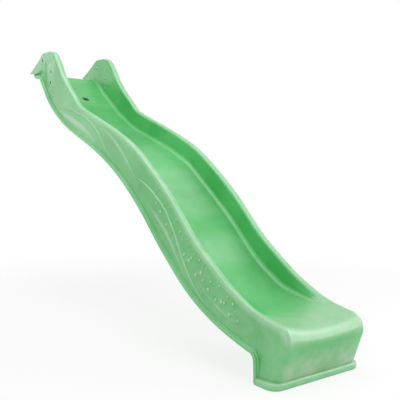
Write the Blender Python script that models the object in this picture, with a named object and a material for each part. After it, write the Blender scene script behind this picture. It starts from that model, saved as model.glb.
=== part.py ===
"""Playground slide: a one-piece hollow-moulded wave chute, its fixing screws and its hose inlet.

Metres, +Z up, +X along the run towards the exit, +Y to the left of someone sliding down.
The origin is the middle of the foot's flat underside, on the ground.
"""
import bmesh
import bpy
from math import atan2, cos, hypot, pi, radians, sin, sqrt, tan
from mathutils import Matrix, Vector

# Overall sizes
PLATFORM_HEIGHT = 1.500     # ground to the underside of the top lip
CHUTE_RUN = 2.360           # foot centre to the back edge of the top lip
WING_REACH = 0.140          # how far the ears reach back past the lip

# Cross-section, from the middle outwards
BED_WIDTH = 0.344           # between the feet of the inner walls
BED_DISH = 0.010            # how far the bed sags in its middle
BED_DEPTH = 0.045           # bed surface to the hollow under it
BED_RISE = 0.100            # measure for the bed's height above the hem
WALL_HEIGHT = 0.100         # measure for the rim's height above the bed
CREASE_RADIUS = 0.030       # fillet between bed and inner wall
INNER_FLARE = 0.0085        # lean of the inner wall, bed to rim
RIM_RADIUS = 0.021
OUTER_FLARE = 0.0175        # lean of the outer wall, rim to hem
WALL_FOOT = 0.040           # thickness of a side wall at its lower edge
HEM_LAND = 0.012            # flat width of that edge
BEAD_REACH = 0.0125         # the parting bead stands out this far from the wall

RIM_SPACING = BED_WIDTH + 2 * (INNER_FLARE + RIM_RADIUS)
RIM_WIDTH = RIM_SPACING + 2 * RIM_RADIUS
HEM_WIDTH = RIM_WIDTH + 2 * OUTER_FLARE
CHANNEL_WIDTH = HEM_WIDTH - 2 * WALL_FOOT
OVERALL_WIDTH = HEM_WIDTH + 2 * BEAD_REACH

# Foot and exit lip
FOOT_LENGTH = 0.128
FOOT_PLATE_HEIGHT = 0.030
FOOT_FRONT_CORNER = 0.050
FOOT_BACK_CORNER = 0.020
FOOT_PLATE_EDGE = 0.009
FOOT_INSET = 0.010          # foot walls stand this far inside the plate
FOOT_SOLE = 0.004           # foot walls stop this far above the ground, inside the plate
FOOT_FILLET = 0.030         # hem to the back of the foot
FOOT_DRAFT = 0.0035
FOOT_HEM_HEIGHT = 0.112     # walls' lower edge where it meets the foot
EXIT_RIM_RISE = 0.135       # nose above that edge, at the rims
EXIT_BED_RISE = 0.103       # and in the bed's middle
RIM_NOSE_RADIUS = 0.063
BED_NOSE_RADIUS = 0.045
FRONT_LEAN = radians(19.6)  # the foot's front slopes back under the nose
EXIT_OPENING = 0.290        # over this length before the foot the channel opens into a saddle
SADDLE_POWER = 2.2          # the saddle rises from its middle to the rims by this power
NOSE_STEPS = 8

# Parting bead along the walls' lower edges
BEAD_HEIGHT = 0.016
BEAD_CHAMFER = 0.004
BEAD_ROOT = 0.8 * HEM_LAND  # how deep it is rooted in the wall
BEAD_LIFT = 0.001
CURL_RADIUS = 0.0135        # the bead's curl round the heel at the lip
CURL_LENGTH = 0.076
CURL_INSET = 0.0245         # curl centre to the heel's back
HEEL_MARGIN = 0.002         # wall left round the outside of the curl
LIP_ROUND = 0.012           # rounding of the lip's top edge
DISH_START = 0.250          # the bed's sag begins this far ahead of the lip
WING_CLEARANCE = 0.045      # wing's lower edge above the lip's underside
WING_RISE = 0.012           # rise of that edge towards the wing's tip

# Ears: flat seat for the tower post on each outer face, as distances ahead of the lip's
# back edge and above its underside
SEAT_BACK = 0.160
SEAT_FRONT = 0.300
SEAT_TOP = 0.097
SEAT_BOTTOM = -0.090
SEAT_CORNER = 0.060
SEAT_DRAFT = radians(2.7)
SEAT_EDGE_DRAFT = radians(12)
SEAT_SPACING = RIM_WIDTH    # seat to seat at their upper ends

# Ear screws: one in the wing, placed in the same way, and two above each other in the seat
WING_SCREW_AHEAD = 0.1025
WING_SCREW_ABOVE = 0.111
SEAT_SCREW_INSET = 0.057    # behind the seat's front edge
SEAT_SCREW_ABOVE = 0.015
SEAT_SCREW_PITCH = 0.072
SEAT_SCREW_AHEAD = SEAT_FRONT - SEAT_SCREW_INSET
SCREW_PLACES = ((WING_SCREW_AHEAD, WING_SCREW_ABOVE), (SEAT_SCREW_AHEAD, SEAT_SCREW_ABOVE),
                (SEAT_SCREW_AHEAD, SEAT_SCREW_ABOVE - SEAT_SCREW_PITCH))
SCREW_WEB = 0.010           # the two skins pressed together round a screw
SPOT_RADIUS = 0.0125
SPOT_DEPTH = 0.0025
DIMPLE_MOUTH = 0.0090
DIMPLE_FLOOR = 0.0070
SCREW_RADIUS = 0.0030
SCREW_SHORT = 0.004         # the tip stops this far inside the outer wall
HEAD_RADIUS = 0.0065
HEAD_HEIGHT = 0.0042
SOCKET_ACROSS_FLATS = 0.004
SOCKET_DEPTH = 0.0022
WASHER_RADIUS = 0.0090
WASHER_THICKNESS = 0.0016

# Hose inlet at the top of the bed
INLET_PLACE = 0.300         # ahead of the lip's back edge
INLET_RADIUS = 0.0132
INLET_BORE = 0.0090
INLET_TAIL = 0.026          # thread left free for the hose
ROSE_RADIUS = 0.022
ROSE_THICKNESS = 0.004
ROSE_SUNK = 0.0015
SEAL_THICKNESS = 0.002
SEAT_MARGIN = 0.0015
NUT_ACROSS_FLATS = 0.036
NUT_HEIGHT = 0.008
NUT_SEAT_DEPTH = 0.003
NUT_SEAT_RADIUS = 0.0235

ROSE_EDGE = 0.001

FIT = 0.0003                # gap kept between pieces that touch
OVERSHOOT = 0.020           # cutters run this far past the faces they open
SLIVER = 0.002              # least height of a wall section at the sole

# How finely the curves are stepped
STATION_STEP = 0.045
BED_ROWS = (0.0, 0.35, 0.65, 0.85)      # shares of the half bed, from its middle
PANEL_ROWS = (0.35, 0.7)        # shares of the outer wall, from the rim down
PAN_HEAD = ((0.55, 0.95), (0.88, 0.7), (1.0, 0.3))      # shares of a head's radius and height
WASHER_STEPS = 24
SCREW_STEPS = 16
POCKET_STEPS = 20
INLET_STEPS = 32
INLET_CUT_STEPS = 24

# Lines of the wave, as (share of the run, height). The hem's heights are shares of its fall
# from the platform to the foot, the bed's are in bed rises above the hem, and the rim's are in
# wall heights above the bed.
HEM_LINE = ((0.0225, 0.0), (0.06, 0.016), (0.12, 0.048), (0.20, 0.113), (0.30, 0.243), (0.40, 0.398),
            (0.50, 0.521), (0.60, 0.609), (0.70, 0.678), (0.78, 0.736), (0.85, 0.807), (0.90, 0.876),
            (0.95, 0.974), (0.968, 1.0), (1.06, 1.0))
BED_ABOVE_HEM = ((0.0225, 1.08), (0.06, 0.92), (0.12, 1.00), (0.20, 1.16), (0.30, 1.47), (0.40, 1.16),
                 (0.45, 1.12), (0.50, 0.92), (0.60, 0.66), (0.70, 0.56), (0.78, 0.75), (0.85, 0.86),
                 (0.90, 0.78), (0.95, 0.37), (0.968, 0.24), (1.06, 0.22))
RIM_ABOVE_BED = ((0.0225, 0.46), (0.055, 0.69), (0.11, 0.91), (0.17, 1.15), (0.24, 1.28), (0.34, 1.34),
                 (0.40, 1.31), (0.47, 1.14), (0.61, 1.14), (0.67, 1.18), (0.715, 1.19), (0.755, 1.47),
                 (0.79, 1.68), (0.83, 1.98), (0.866, 2.50), (0.884, 2.62), (0.905, 2.40), (0.953, 1.64),
                 (1.0, 1.12), (1.06, 0.58))


def smooth(knots):
    """Return a smooth curve through the knots that never overshoots between them."""
    xs = [k[0] for k in knots]
    zs = [k[1] for k in knots]
    gaps = [b - a for a, b in zip(xs, xs[1:])]
    rises = [(b - a) / gap for a, b, gap in zip(zs, zs[1:], gaps)]
    slopes = [rises[0]]
    for i in range(1, len(xs) - 1):
        before, after = rises[i - 1], rises[i]
        if before * after <= 0:
            slopes.append(0.0)
            continue
        near = 2 * gaps[i] + gaps[i - 1]
        far = gaps[i] + 2 * gaps[i - 1]
        slopes.append((near + far) / (near / before + far / after))
    slopes.append(rises[-1])

    def curve(x):
        x = min(max(x, xs[0]), xs[-1])
        i = max(k for k in range(len(gaps)) if x >= xs[k])
        t = (x - xs[i]) / gaps[i]
        return ((2 * t**3 - 3 * t**2 + 1) * zs[i] + (t**3 - 2 * t**2 + t) * gaps[i] * slopes[i]
                + (3 * t**2 - 2 * t**3) * zs[i + 1] + (t**3 - t**2) * gaps[i] * slopes[i + 1])

    return curve


hem_share = smooth(HEM_LINE)
bed_share = smooth(BED_ABOVE_HEM)
rim_share = smooth(RIM_ABOVE_BED)

LIP_BACK = -CHUTE_RUN
WING_TIP = LIP_BACK - WING_REACH
FOOT_BACK = -FOOT_LENGTH / 2 + FOOT_INSET
FOOT_FRONT = FOOT_LENGTH / 2 - FOOT_INSET
FILLET_START = FOOT_BACK - FOOT_DRAFT - FOOT_FILLET


def hem_line(x):
    return FOOT_HEM_HEIGHT + (PLATFORM_HEIGHT - FOOT_HEM_HEIGHT) * hem_share(-x / CHUTE_RUN)


def hem(x):
    """Lower edge of the side wall, with the fillet that turns it down the back of the foot."""
    if x <= FILLET_START:
        return hem_line(x)
    drop = FOOT_FILLET - sqrt(max(FOOT_FILLET**2 - (x - FILLET_START)**2, 0.0))
    return hem_line(FILLET_START) - drop


def bed_line(x):
    return hem_line(x) + BED_RISE * bed_share(-x / CHUTE_RUN)


def bed(x):
    """Bed at the foot of the walls, rounded down at the lip's back edge."""
    past = min(max(LIP_BACK + LIP_ROUND - x, 0.0), 0.97 * LIP_ROUND)
    return bed_line(x) - LIP_ROUND + sqrt(LIP_ROUND**2 - past**2)


def dish(x):
    """Sag of the bed's middle: none at the lip, full from a little way down."""
    return BED_DISH * min(max((x - LIP_BACK) / DISH_START, 0.0), 1.0)


def rim(x):
    return bed_line(x) + WALL_HEIGHT * rim_share(-x / CHUTE_RUN)


def opening(x):
    """How far the channel has opened out towards the exit, from 0 to 1."""
    share = min(max((x - FOOT_BACK) / EXIT_OPENING + 1, 0.0), 1.0)
    return share**2 * (3 - 2 * share)


def slope(line, x, step=0.002):
    return (line(x + step) - line(x - step)) / (2 * step)


def inner_wall_y(x, z):
    """Half width of the chute inside, between the crease fillet and the rim's rounding."""
    low = bed(x) + CREASE_RADIUS
    high = rim(x) - RIM_RADIUS
    return BED_WIDTH / 2 + INNER_FLARE * (z - low) / (high - low)


def outer_wall_y(x, z):
    """Half width over the outer walls."""
    high = rim(x) - RIM_RADIUS
    return RIM_WIDTH / 2 + OUTER_FLARE * (high - z) / (high - hem(x))


def seat_y(z):
    """Distance of a post seat from the middle plane."""
    return SEAT_SPACING / 2 + (PLATFORM_HEIGHT + SEAT_TOP - z) * tan(SEAT_DRAFT)


def lerp(a, b, t):
    return a + (b - a) * t


def half_section(low, floor, top, sag, opened):
    """Points of the left half, middle of the bed to the hem, as (y, Vector in the XZ plane).

    low, floor and top are the hem, bed and rim points of one station, sag the bed's dish, and
    opened says how far the channel has turned into a saddle from rim to rim.
    """
    wall = (top - floor).length
    up_wall = (top - floor) / wall
    side = (top - low).length
    down_side = (low - top) / side
    crease = min(CREASE_RADIUS, 0.4 * wall)
    round_in = min(RIM_RADIUS, 0.5 * wall)
    foot_y = BED_WIDTH / 2
    flat_y = foot_y - crease
    neck_y = RIM_SPACING / 2 - RIM_RADIUS
    crest_y = RIM_SPACING / 2
    channel = [(flat_y * share, -sag * (1 - share**2)) for share in BED_ROWS]
    for k in range(4):
        turn = radians(90) * k / 3
        channel.append((flat_y + crease * sin(turn), crease * (1 - cos(turn))))
    for k in range(5):
        turn = radians(90) * k / 4
        channel.append((neck_y + RIM_RADIUS * (1 - cos(turn)), wall - round_in * (1 - sin(turn))))
    points = []
    for y, height in channel:
        saddle = wall * (y / crest_y)**SADDLE_POWER
        points.append((y, floor + up_wall * lerp(height, saddle, opened)))
    for k in range(1, 5):
        turn = radians(90) * k / 4
        points.append((crest_y + RIM_RADIUS * sin(turn), top + down_side * RIM_RADIUS * (1 - cos(turn))))
    shoulder_y = crest_y + RIM_RADIUS
    for share in PANEL_ROWS:
        drop = lerp(RIM_RADIUS, side, share)
        points.append((lerp(shoulder_y, HEM_WIDTH / 2, share), top + down_side * drop))
    return points


def underside(low, floor):
    """Points under the left half, hem to middle: wall bottom, then the hollow below the bed."""
    roof = Vector((low.x, max(low.y, floor.y - BED_DISH - BED_DEPTH)))
    land_y = HEM_WIDTH / 2 - HEM_LAND
    channel_y = CHANNEL_WIDTH / 2
    return [(HEM_WIDTH / 2, low), (land_y, low), (channel_y, roof), (0.55 * channel_y, roof)]


def whole_ring(half, beneath):
    """Mirror a half section into the closed ring, starting at the bed's middle."""
    left = half + beneath
    middle_below = (0.0, beneath[-1][1])
    right = [(-y, p) for y, p in reversed(left[1:])]
    return left + [middle_below] + right


def nose_outline(top_height, radius):
    """Side view of the exit: over the nose and down the leaning front of the foot."""
    base = Vector((FOOT_FRONT, FOOT_PLATE_HEIGHT))
    centre_z = top_height - radius
    centre_x = base.x + ((centre_z - base.y) * sin(FRONT_LEAN) - radius) / cos(FRONT_LEAN)
    outline = []
    for k in range(NOSE_STEPS + 1):
        turn = lerp(radians(90), -FRONT_LEAN, k / NOSE_STEPS)
        outline.append(Vector((centre_x + radius * cos(turn), centre_z + radius * sin(turn))))
    tangent = outline[-1]
    sole = Vector((base.x - (base.y - FOOT_SOLE) * tan(FRONT_LEAN), FOOT_SOLE))
    outline += [tangent.lerp(sole, share) for share in (0.33, 0.66, 1.0)]
    return outline


def stations():
    """Places of the chute's cross-sections, from the wing tips to the back of the foot."""
    last = FOOT_BACK - FOOT_DRAFT
    lip = [LIP_BACK + LIP_ROUND * share for share in (0.03, 0.2, 0.5, 1.0)]
    wing = [lerp(WING_TIP, lip[0], k / 4) for k in range(4)]
    count = round((FILLET_START - lip[-1]) / STATION_STEP)
    chute = [lerp(lip[-1], FILLET_START, k / count) for k in range(1, count + 1)]
    fillet = [lerp(FILLET_START, last, share) for share in (0.5, 0.8, 0.95, 1.0)]
    return wing + lip + chute + fillet


def place(y, point):
    return Vector((point.x, y, point.y))


def chute_shell():
    """Loft the chute through its stations, then fan round the back of the foot to its sole."""
    bm = bmesh.new()
    rings = []
    for x in stations():
        low, floor, top = Vector((x, hem(x))), Vector((x, bed(x))), Vector((x, rim(x)))
        ring = whole_ring(half_section(low, floor, top, dish(x), opening(x)), underside(low, floor))
        rings.append([bm.verts.new(place(y, p)) for y, p in ring])
    pivot = Vector((FOOT_BACK, FOOT_SOLE))
    floor, top = Vector((FOOT_BACK, bed(FOOT_BACK))), Vector((FOOT_BACK, rim(FOOT_BACK)))
    half = half_section(pivot, floor, top, BED_DISH, 1.0)
    sole = [(y, pivot) for y, p in underside(pivot, floor)]
    rings.append([bm.verts.new(place(y, p)) for y, p in whole_ring(half, sole)])
    for before, after in zip(rings, rings[1:]):
        for i in range(len(before)):
            j = (i + 1) % len(before)
            bm.faces.new((before[i], before[j], after[j], after[i]))
    bm.faces.new(reversed(rings[0]))

    upper = len(half)
    count = len(rings[-1])
    fan = rings[-1]
    rims = nose_outline(FOOT_HEM_HEIGHT + EXIT_RIM_RISE, RIM_NOSE_RADIUS)
    beds = nose_outline(FOOT_HEM_HEIGHT + EXIT_BED_RISE, BED_NOSE_RADIUS)
    for top, floor in zip(rims, beds):
        if (top - floor).length < SLIVER:
            floor = top + (pivot - top).normalized() * SLIVER
        half = half_section(pivot, floor, top, BED_DISH, 1.0)
        ring = list(fan)
        for i, (y, p) in enumerate(half):
            ring[i] = bm.verts.new(place(y, p))
            if i > 0:
                ring[count - i] = bm.verts.new(place(-y, p))
        for i in range(-upper, upper):
            a, b = fan[i], fan[i + 1]
            c, d = ring[i + 1], ring[i]
            bm.faces.new(dict.fromkeys((a, b, c, d)))
        fan = ring
    bm.faces.new(fan)
    bmesh.ops.recalc_face_normals(bm, faces=bm.faces)
    return bm


def extrude_outline(outline, depth):
    """Close an (x, y) outline and extrude it up by depth."""
    bm = bmesh.new()
    face = bm.faces.new([bm.verts.new((x, y, 0)) for x, y in outline])
    grown = bmesh.ops.extrude_face_region(bm, geom=[face])
    verts = [v for v in grown["geom"] if isinstance(v, bmesh.types.BMVert)]
    bmesh.ops.translate(bm, verts=verts, vec=(0, 0, depth))
    bmesh.ops.recalc_face_normals(bm, faces=bm.faces)
    return bm


def turned(profile, steps):
    """Spin an (r, z) outline about Z into a closed solid."""
    bm = bmesh.new()
    verts = [bm.verts.new((r, 0, z)) for r, z in profile]
    edges = [bm.edges.new(pair) for pair in zip(verts, verts[1:])]
    if profile[0][0] > 0:
        edges.append(bm.edges.new((verts[-1], verts[0])))
    bmesh.ops.spin(bm, geom=verts + edges, cent=(0, 0, 0), axis=(0, 0, 1), angle=2 * pi, steps=steps,
                   use_merge=True)
    bmesh.ops.remove_doubles(bm, verts=bm.verts, dist=1e-6)
    bmesh.ops.recalc_face_normals(bm, faces=bm.faces)
    return bm


def join(target, source, matrix=Matrix()):
    """Copy a bmesh into another, moved by a matrix."""
    mesh = bpy.data.meshes.new("moved")
    source.to_mesh(mesh)
    mesh.transform(matrix)
    target.from_mesh(mesh)
    bpy.data.meshes.remove(mesh)
    source.free()


def mirror_y(bm):
    """Reflect a closed solid to the other side of the middle plane."""
    bmesh.ops.transform(bm, matrix=Matrix.Diagonal((1, -1, 1, 1)), verts=bm.verts)
    bmesh.ops.reverse_faces(bm, faces=bm.faces)


def curl_centre():
    low_z = PLATFORM_HEIGHT + BEAD_LIFT + BEAD_HEIGHT / 2
    return Vector((LIP_BACK + CURL_INSET, low_z + CURL_RADIUS))


def hem_path():
    """Middle line of the parting bead in the XZ plane, from the heel's curl to the foot."""
    half = BEAD_HEIGHT / 2
    centre = curl_centre()
    path = [centre + Vector((CURL_LENGTH, CURL_RADIUS)), centre + Vector((CURL_LENGTH / 2, CURL_RADIUS))]
    for k in range(7):
        turn = radians(90) + pi * k / 6
        path.append(centre + CURL_RADIUS * Vector((cos(turn), sin(turn))))
    for x in stations():
        if centre.x + BEAD_HEIGHT < x <= FILLET_START:
            normal = Vector((-slope(hem_line, x), 1.0)).normalized()
            path.append(Vector((x, hem_line(x))) + normal * (half + BEAD_LIFT))
    centre = Vector((FILLET_START, hem_line(FILLET_START) - FOOT_FILLET))
    reach = FOOT_FILLET + half + BEAD_LIFT
    for turn in (60, 30, 0):
        path.append(centre + reach * Vector((cos(radians(turn)), sin(radians(turn)))))
    path.append(Vector((FOOT_BACK + half, FOOT_PLATE_HEIGHT / 2)))
    return path


def sweep_bar(path, inner_y, outer_y):
    """Sweep the bead's chamfered bar along a path in the XZ plane."""
    half = BEAD_HEIGHT / 2
    flat = half - BEAD_CHAMFER
    bar = [(inner_y, -half), (outer_y - BEAD_CHAMFER, -half), (outer_y, -flat), (outer_y, flat),
           (outer_y - BEAD_CHAMFER, half), (inner_y, half)]
    bm = bmesh.new()
    rings = []
    for i, point in enumerate(path):
        ahead = path[min(i + 1, len(path) - 1)] - path[max(i - 1, 0)]
        normal = Vector((-ahead.y, ahead.x)).normalized()
        rings.append([bm.verts.new(place(y, point + normal * n)) for y, n in bar])
    for before, after in zip(rings, rings[1:]):
        for i in range(len(bar)):
            j = (i + 1) % len(bar)
            bm.faces.new((before[i], before[j], after[j], after[i]))
    bm.faces.new(rings[0])
    bm.faces.new(rings[-1])
    bmesh.ops.recalc_face_normals(bm, faces=bm.faces)
    return bm


def beads():
    bm = bmesh.new()
    path = hem_path()
    for side in (1, -1):
        bead = sweep_bar(path, HEM_WIDTH / 2 - BEAD_ROOT, OVERALL_WIDTH / 2)
        if side < 0:
            mirror_y(bead)
        join(bm, bead)
    return bm


def foot_plate():
    """Rounded plate at the ground, the parting bead of the foot."""
    outline = []
    for quarter, (sx, sy) in enumerate(((1, 1), (-1, 1), (-1, -1), (1, -1))):
        radius = FOOT_FRONT_CORNER if sx > 0 else FOOT_BACK_CORNER
        for k in range(7):
            turn = radians(90) * (quarter + k / 6)
            outline.append((sx * (FOOT_LENGTH / 2 - radius) + radius * cos(turn),
                            sy * (OVERALL_WIDTH / 2 - radius) + radius * sin(turn)))
    bm = extrude_outline(outline, FOOT_PLATE_HEIGHT)
    edges = [e for e in bm.edges if abs(e.verts[0].co.z - e.verts[1].co.z) < 1e-6]
    bmesh.ops.bevel(bm, geom=edges, offset=FOOT_PLATE_EDGE, segments=3, profile=0.5, affect="EDGES",
                    material=-1)
    return bm


def lip_cutter():
    """Everything behind the rounded heel and below the wings."""
    centre = curl_centre()
    radius = CURL_RADIUS + BEAD_HEIGHT / 2 + HEEL_MARGIN
    back = WING_TIP - OVERSHOOT
    bottom = centre.y - radius - OVERSHOOT
    outline = [(back, bottom), (centre.x, bottom)]
    for k in range(9):
        turn = radians(270) - pi * k / 8
        outline.append((centre.x + radius * cos(turn), centre.y + radius * sin(turn)))
    tip_z = PLATFORM_HEIGHT + WING_CLEARANCE + WING_RISE
    outline += [(WING_TIP, tip_z), (back, tip_z)]
    bm = extrude_outline(outline, OVERALL_WIDTH * 1.2)
    turn = Matrix.Rotation(pi / 2, 4, "X")
    bmesh.ops.transform(bm, matrix=Matrix.Translation((0, OVERALL_WIDTH * 0.6, 0)) @ turn, verts=bm.verts)
    return bm


def seat_cutter():
    """Takes the outer wall back to the flat post seat of the left ear."""
    back, front = LIP_BACK + SEAT_BACK, LIP_BACK + SEAT_FRONT
    top, bottom = PLATFORM_HEIGHT + SEAT_TOP, PLATFORM_HEIGHT + SEAT_BOTTOM
    outline = [(front, top), (back, top)]
    for turn_centre, start in ((back + SEAT_CORNER, 180), (front - SEAT_CORNER, 270)):
        for k in range(6):
            turn = radians(start + 90 * k / 5)
            outline.append((turn_centre + SEAT_CORNER * cos(turn), bottom + SEAT_CORNER * (1 + sin(turn))))
    middle = Vector(((back + front) / 2, (top + bottom) / 2))
    reach = (front - back) / 2
    spread = 1 + OVERALL_WIDTH * tan(SEAT_EDGE_DRAFT) / reach
    bm = bmesh.new()
    inner = [bm.verts.new((x, seat_y(z), z)) for x, z in outline]
    outer = [bm.verts.new(place(v.co.y + OVERALL_WIDTH, middle.lerp(Vector((v.co.x, v.co.z)), spread)))
             for v in inner]
    for i in range(len(outline)):
        j = (i + 1) % len(outline)
        bm.faces.new((inner[i], inner[j], outer[j], outer[i]))
    bm.faces.new(inner)
    bm.faces.new(outer)
    bmesh.ops.recalc_face_normals(bm, faces=bm.faces)
    return bm


class ScrewPlace:
    """Where one ear screw goes: its axis runs outwards along Y from the spot face."""

    def __init__(self, ahead, above):
        self.x = LIP_BACK + ahead
        self.z = PLATFORM_HEIGHT + above
        self.seat = inner_wall_y(self.x, self.z) + SPOT_DEPTH
        self.outer = outer_wall_y(self.x, self.z)
        if SEAT_BACK < ahead < SEAT_FRONT:
            self.outer = min(self.outer, seat_y(self.z))

    def matrix(self, side, y):
        """Local Z points outwards from the chute, at distance y from the middle plane."""
        turn = Matrix.Rotation(-side * pi / 2, 4, "X")
        return Matrix.Translation((self.x, side * y, self.z)) @ turn


def screw_pocket(where):
    """Cutter for one screw: spot face inside, hole, and the pressed-in dimple outside."""
    floor = SCREW_WEB
    mouth = where.outer - where.seat + OVERSHOOT / 2
    profile = [(0, -OVERSHOOT), (SPOT_RADIUS, -OVERSHOOT), (SPOT_RADIUS, 0), (SCREW_RADIUS + FIT, 0),
               (SCREW_RADIUS + FIT, floor), (DIMPLE_FLOOR, floor), (DIMPLE_MOUTH, mouth), (0, mouth)]
    return turned(profile, POCKET_STEPS)


def inlet_frame():
    """Middle of the bed at the hose inlet, with local Z square to the bed."""
    x = LIP_BACK + INLET_PLACE
    normal = Vector((-slope(bed, x), 0, 1)).normalized()
    turn = Matrix.Rotation(atan2(normal.x, normal.z), 4, "Y")
    return Matrix.Translation((x, 0, bed(x) - BED_DISH)) @ turn


def inlet_depths():
    """Depths below the bed: rose seat, then the spot face under the body."""
    x = LIP_BACK + INLET_PLACE
    square = 1 / hypot(1, slope(bed, x))
    top_seat = ROSE_SUNK + ROSE_THICKNESS + SEAL_THICKNESS + 2 * FIT
    return top_seat, BED_DEPTH * square - NUT_SEAT_DEPTH


def inlet_cutter():
    top_seat, bottom_seat = inlet_depths()
    wide = ROSE_RADIUS + SEAT_MARGIN
    below = -bottom_seat - OVERSHOOT
    profile = [(0, OVERSHOOT), (wide, OVERSHOOT), (wide, -top_seat), (INLET_RADIUS + FIT, -top_seat),
               (INLET_RADIUS + FIT, -bottom_seat), (NUT_SEAT_RADIUS, -bottom_seat),
               (NUT_SEAT_RADIUS, below), (0, below)]
    return turned(list(reversed(profile)), INLET_CUT_STEPS)


def body_cutters():
    bm = bmesh.new()
    for side in (1, -1):
        seat = seat_cutter()
        if side < 0:
            mirror_y(seat)
        join(bm, seat)
    join(bm, inlet_cutter(), inlet_frame())
    join(bm, lip_cutter())
    return bm


def screw_cutters():
    bm = bmesh.new()
    for ahead, above in SCREW_PLACES:
        where = ScrewPlace(ahead, above)
        for side in (1, -1):
            join(bm, screw_pocket(where), where.matrix(side, where.seat))
    return bm


def material(name, colour, roughness, metallic=0.0):
    made = bpy.data.materials.new(name)
    made.use_nodes = True
    shader = made.node_tree.nodes["Principled BSDF"]
    shader.inputs["Base Color"].default_value = (*colour, 1.0)
    shader.inputs["Roughness"].default_value = roughness
    shader.inputs["Metallic"].default_value = metallic
    made.diffuse_color = (*colour, 1.0)
    return made


def add_object(name, bm, surface=None, matrix=Matrix()):
    mesh = bpy.data.meshes.new(name)
    bm.to_mesh(mesh)
    bm.free()
    mesh.shade_smooth()
    mesh.set_sharp_from_angle(angle=radians(35))
    made = bpy.data.objects.new(name, mesh)
    bpy.context.scene.collection.objects.link(made)
    made.matrix_world = matrix
    if surface:
        mesh.materials.append(surface)
    return made


def combine(target, tool_name, tool_mesh, operation, matrix=Matrix()):
    """Boolean a hidden tool object into the target."""
    tool = add_object(tool_name, tool_mesh, matrix=matrix)
    tool.hide_render = True
    tool.display_type = "WIRE"
    modifier = target.modifiers.new(tool_name, "BOOLEAN")
    modifier.operation = operation
    modifier.solver = "EXACT"
    modifier.object = tool


def slide_body(surface):
    body = add_object("slide_body", chute_shell(), surface)
    combine(body, "hem_beads", beads(), "UNION")
    combine(body, "foot_plate", foot_plate(), "UNION")
    combine(body, "body_cutters", body_cutters(), "DIFFERENCE")
    combine(body, "screw_cutters", screw_cutters(), "DIFFERENCE")


def hexagon(across_flats, height):
    radius = across_flats / 2 / cos(pi / 6)
    outline = [(radius * cos(k * pi / 3), radius * sin(k * pi / 3)) for k in range(6)]
    return extrude_outline(outline, height)


def ear_screw(length):
    """Pan-head screw; its shank runs up Z from the underside of the head."""
    point = 2 * SCREW_RADIUS
    dome = [(r * HEAD_RADIUS, -h * HEAD_HEIGHT) for r, h in PAN_HEAD]
    shank = [(SCREW_RADIUS, 0), (SCREW_RADIUS, length - point), (0.2 * SCREW_RADIUS, length), (0, length)]
    return turned([(0, -HEAD_HEIGHT)] + dome + [(HEAD_RADIUS, 0)] + shank, SCREW_STEPS)


def ear_fixings(steel):
    for number, (ahead, above) in enumerate(SCREW_PLACES, 1):
        where = ScrewPlace(ahead, above)
        washer_y = where.seat - FIT - WASHER_THICKNESS
        head_y = washer_y - FIT
        length = where.outer - SCREW_SHORT - head_y
        hole = SCREW_RADIUS + FIT
        for side, word in ((1, "left"), (-1, "right")):
            washer = turned([(hole, 0), (WASHER_RADIUS, 0), (WASHER_RADIUS, WASHER_THICKNESS),
                             (hole, WASHER_THICKNESS)], WASHER_STEPS)
            add_object(f"ear_washer_{word}_{number}", washer, steel, where.matrix(side, washer_y))
            screw = add_object(f"ear_screw_{word}_{number}", ear_screw(length), steel,
                               where.matrix(side, head_y))
            socket = hexagon(SOCKET_ACROSS_FLATS, HEAD_HEIGHT)
            socket_y = head_y - 2 * HEAD_HEIGHT + SOCKET_DEPTH
            combine(screw, f"socket_{word}_{number}", socket, "DIFFERENCE", where.matrix(side, socket_y))


def hose_inlet(plastic, rubber):
    """Threaded spigot with its rose in the bed, seal under the rose and nut under the body."""
    frame = inlet_frame()
    top_seat, bottom_seat = inlet_depths()
    rose_top = -ROSE_SUNK
    rose_low = rose_top - ROSE_THICKNESS
    end = -bottom_seat - FIT - NUT_HEIGHT - INLET_TAIL
    pipe = [(INLET_BORE, end), (INLET_RADIUS, end), (INLET_RADIUS, rose_low)]
    rose = [(ROSE_RADIUS, rose_low), (ROSE_RADIUS, rose_top - ROSE_EDGE),
            (ROSE_RADIUS - ROSE_EDGE, rose_top), (INLET_BORE, rose_top)]
    add_object("hose_spigot", turned(pipe + rose, INLET_STEPS), plastic, frame)
    seal = turned([(INLET_RADIUS + FIT, -top_seat + FIT), (ROSE_RADIUS, -top_seat + FIT),
                   (ROSE_RADIUS, -top_seat + FIT + SEAL_THICKNESS),
                   (INLET_RADIUS + FIT, -top_seat + FIT + SEAL_THICKNESS)], INLET_STEPS)
    add_object("hose_seal", seal, rubber, frame)
    nut = hexagon(NUT_ACROSS_FLATS, NUT_HEIGHT)
    low = Matrix.Translation((0, 0, -bottom_seat - FIT - NUT_HEIGHT))
    nut_object = add_object("hose_nut", nut, plastic, frame @ low)
    bore = INLET_RADIUS + FIT
    hole = turned([(0, -OVERSHOOT), (bore, -OVERSHOOT), (bore, OVERSHOOT), (0, OVERSHOOT)], INLET_STEPS)
    combine(nut_object, "nut_bore", hole, "DIFFERENCE", frame @ low)


def main():
    for old in list(bpy.data.objects):
        bpy.data.objects.remove(old, do_unlink=True)
    green = material("moulded polyethylene, apple green", (0.19, 0.56, 0.23), 0.35)
    steel = material("zinc-plated steel", (0.62, 0.63, 0.64), 0.35, 1.0)
    black = material("moulded polypropylene, dark grey", (0.05, 0.055, 0.06), 0.45)
    rubber = material("rubber", (0.02, 0.02, 0.02), 0.8)
    slide_body(green)
    ear_fixings(steel)
    hose_inlet(black, rubber)


main()
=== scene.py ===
# %% [markdown]
# # A wave chute for a play tower
# The object is a long plastic slide. It is one hollow moulding, so its chute, side walls, ears,
# top lip and foot are a single skin, and the only other pieces are six screws with washers and
# a hose inlet under the bed. The solid model is loaded first. Everything that this file makes
# is then drawn round it, in metres, with +X towards the exit, +Y to the left and +Z up.

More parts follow.
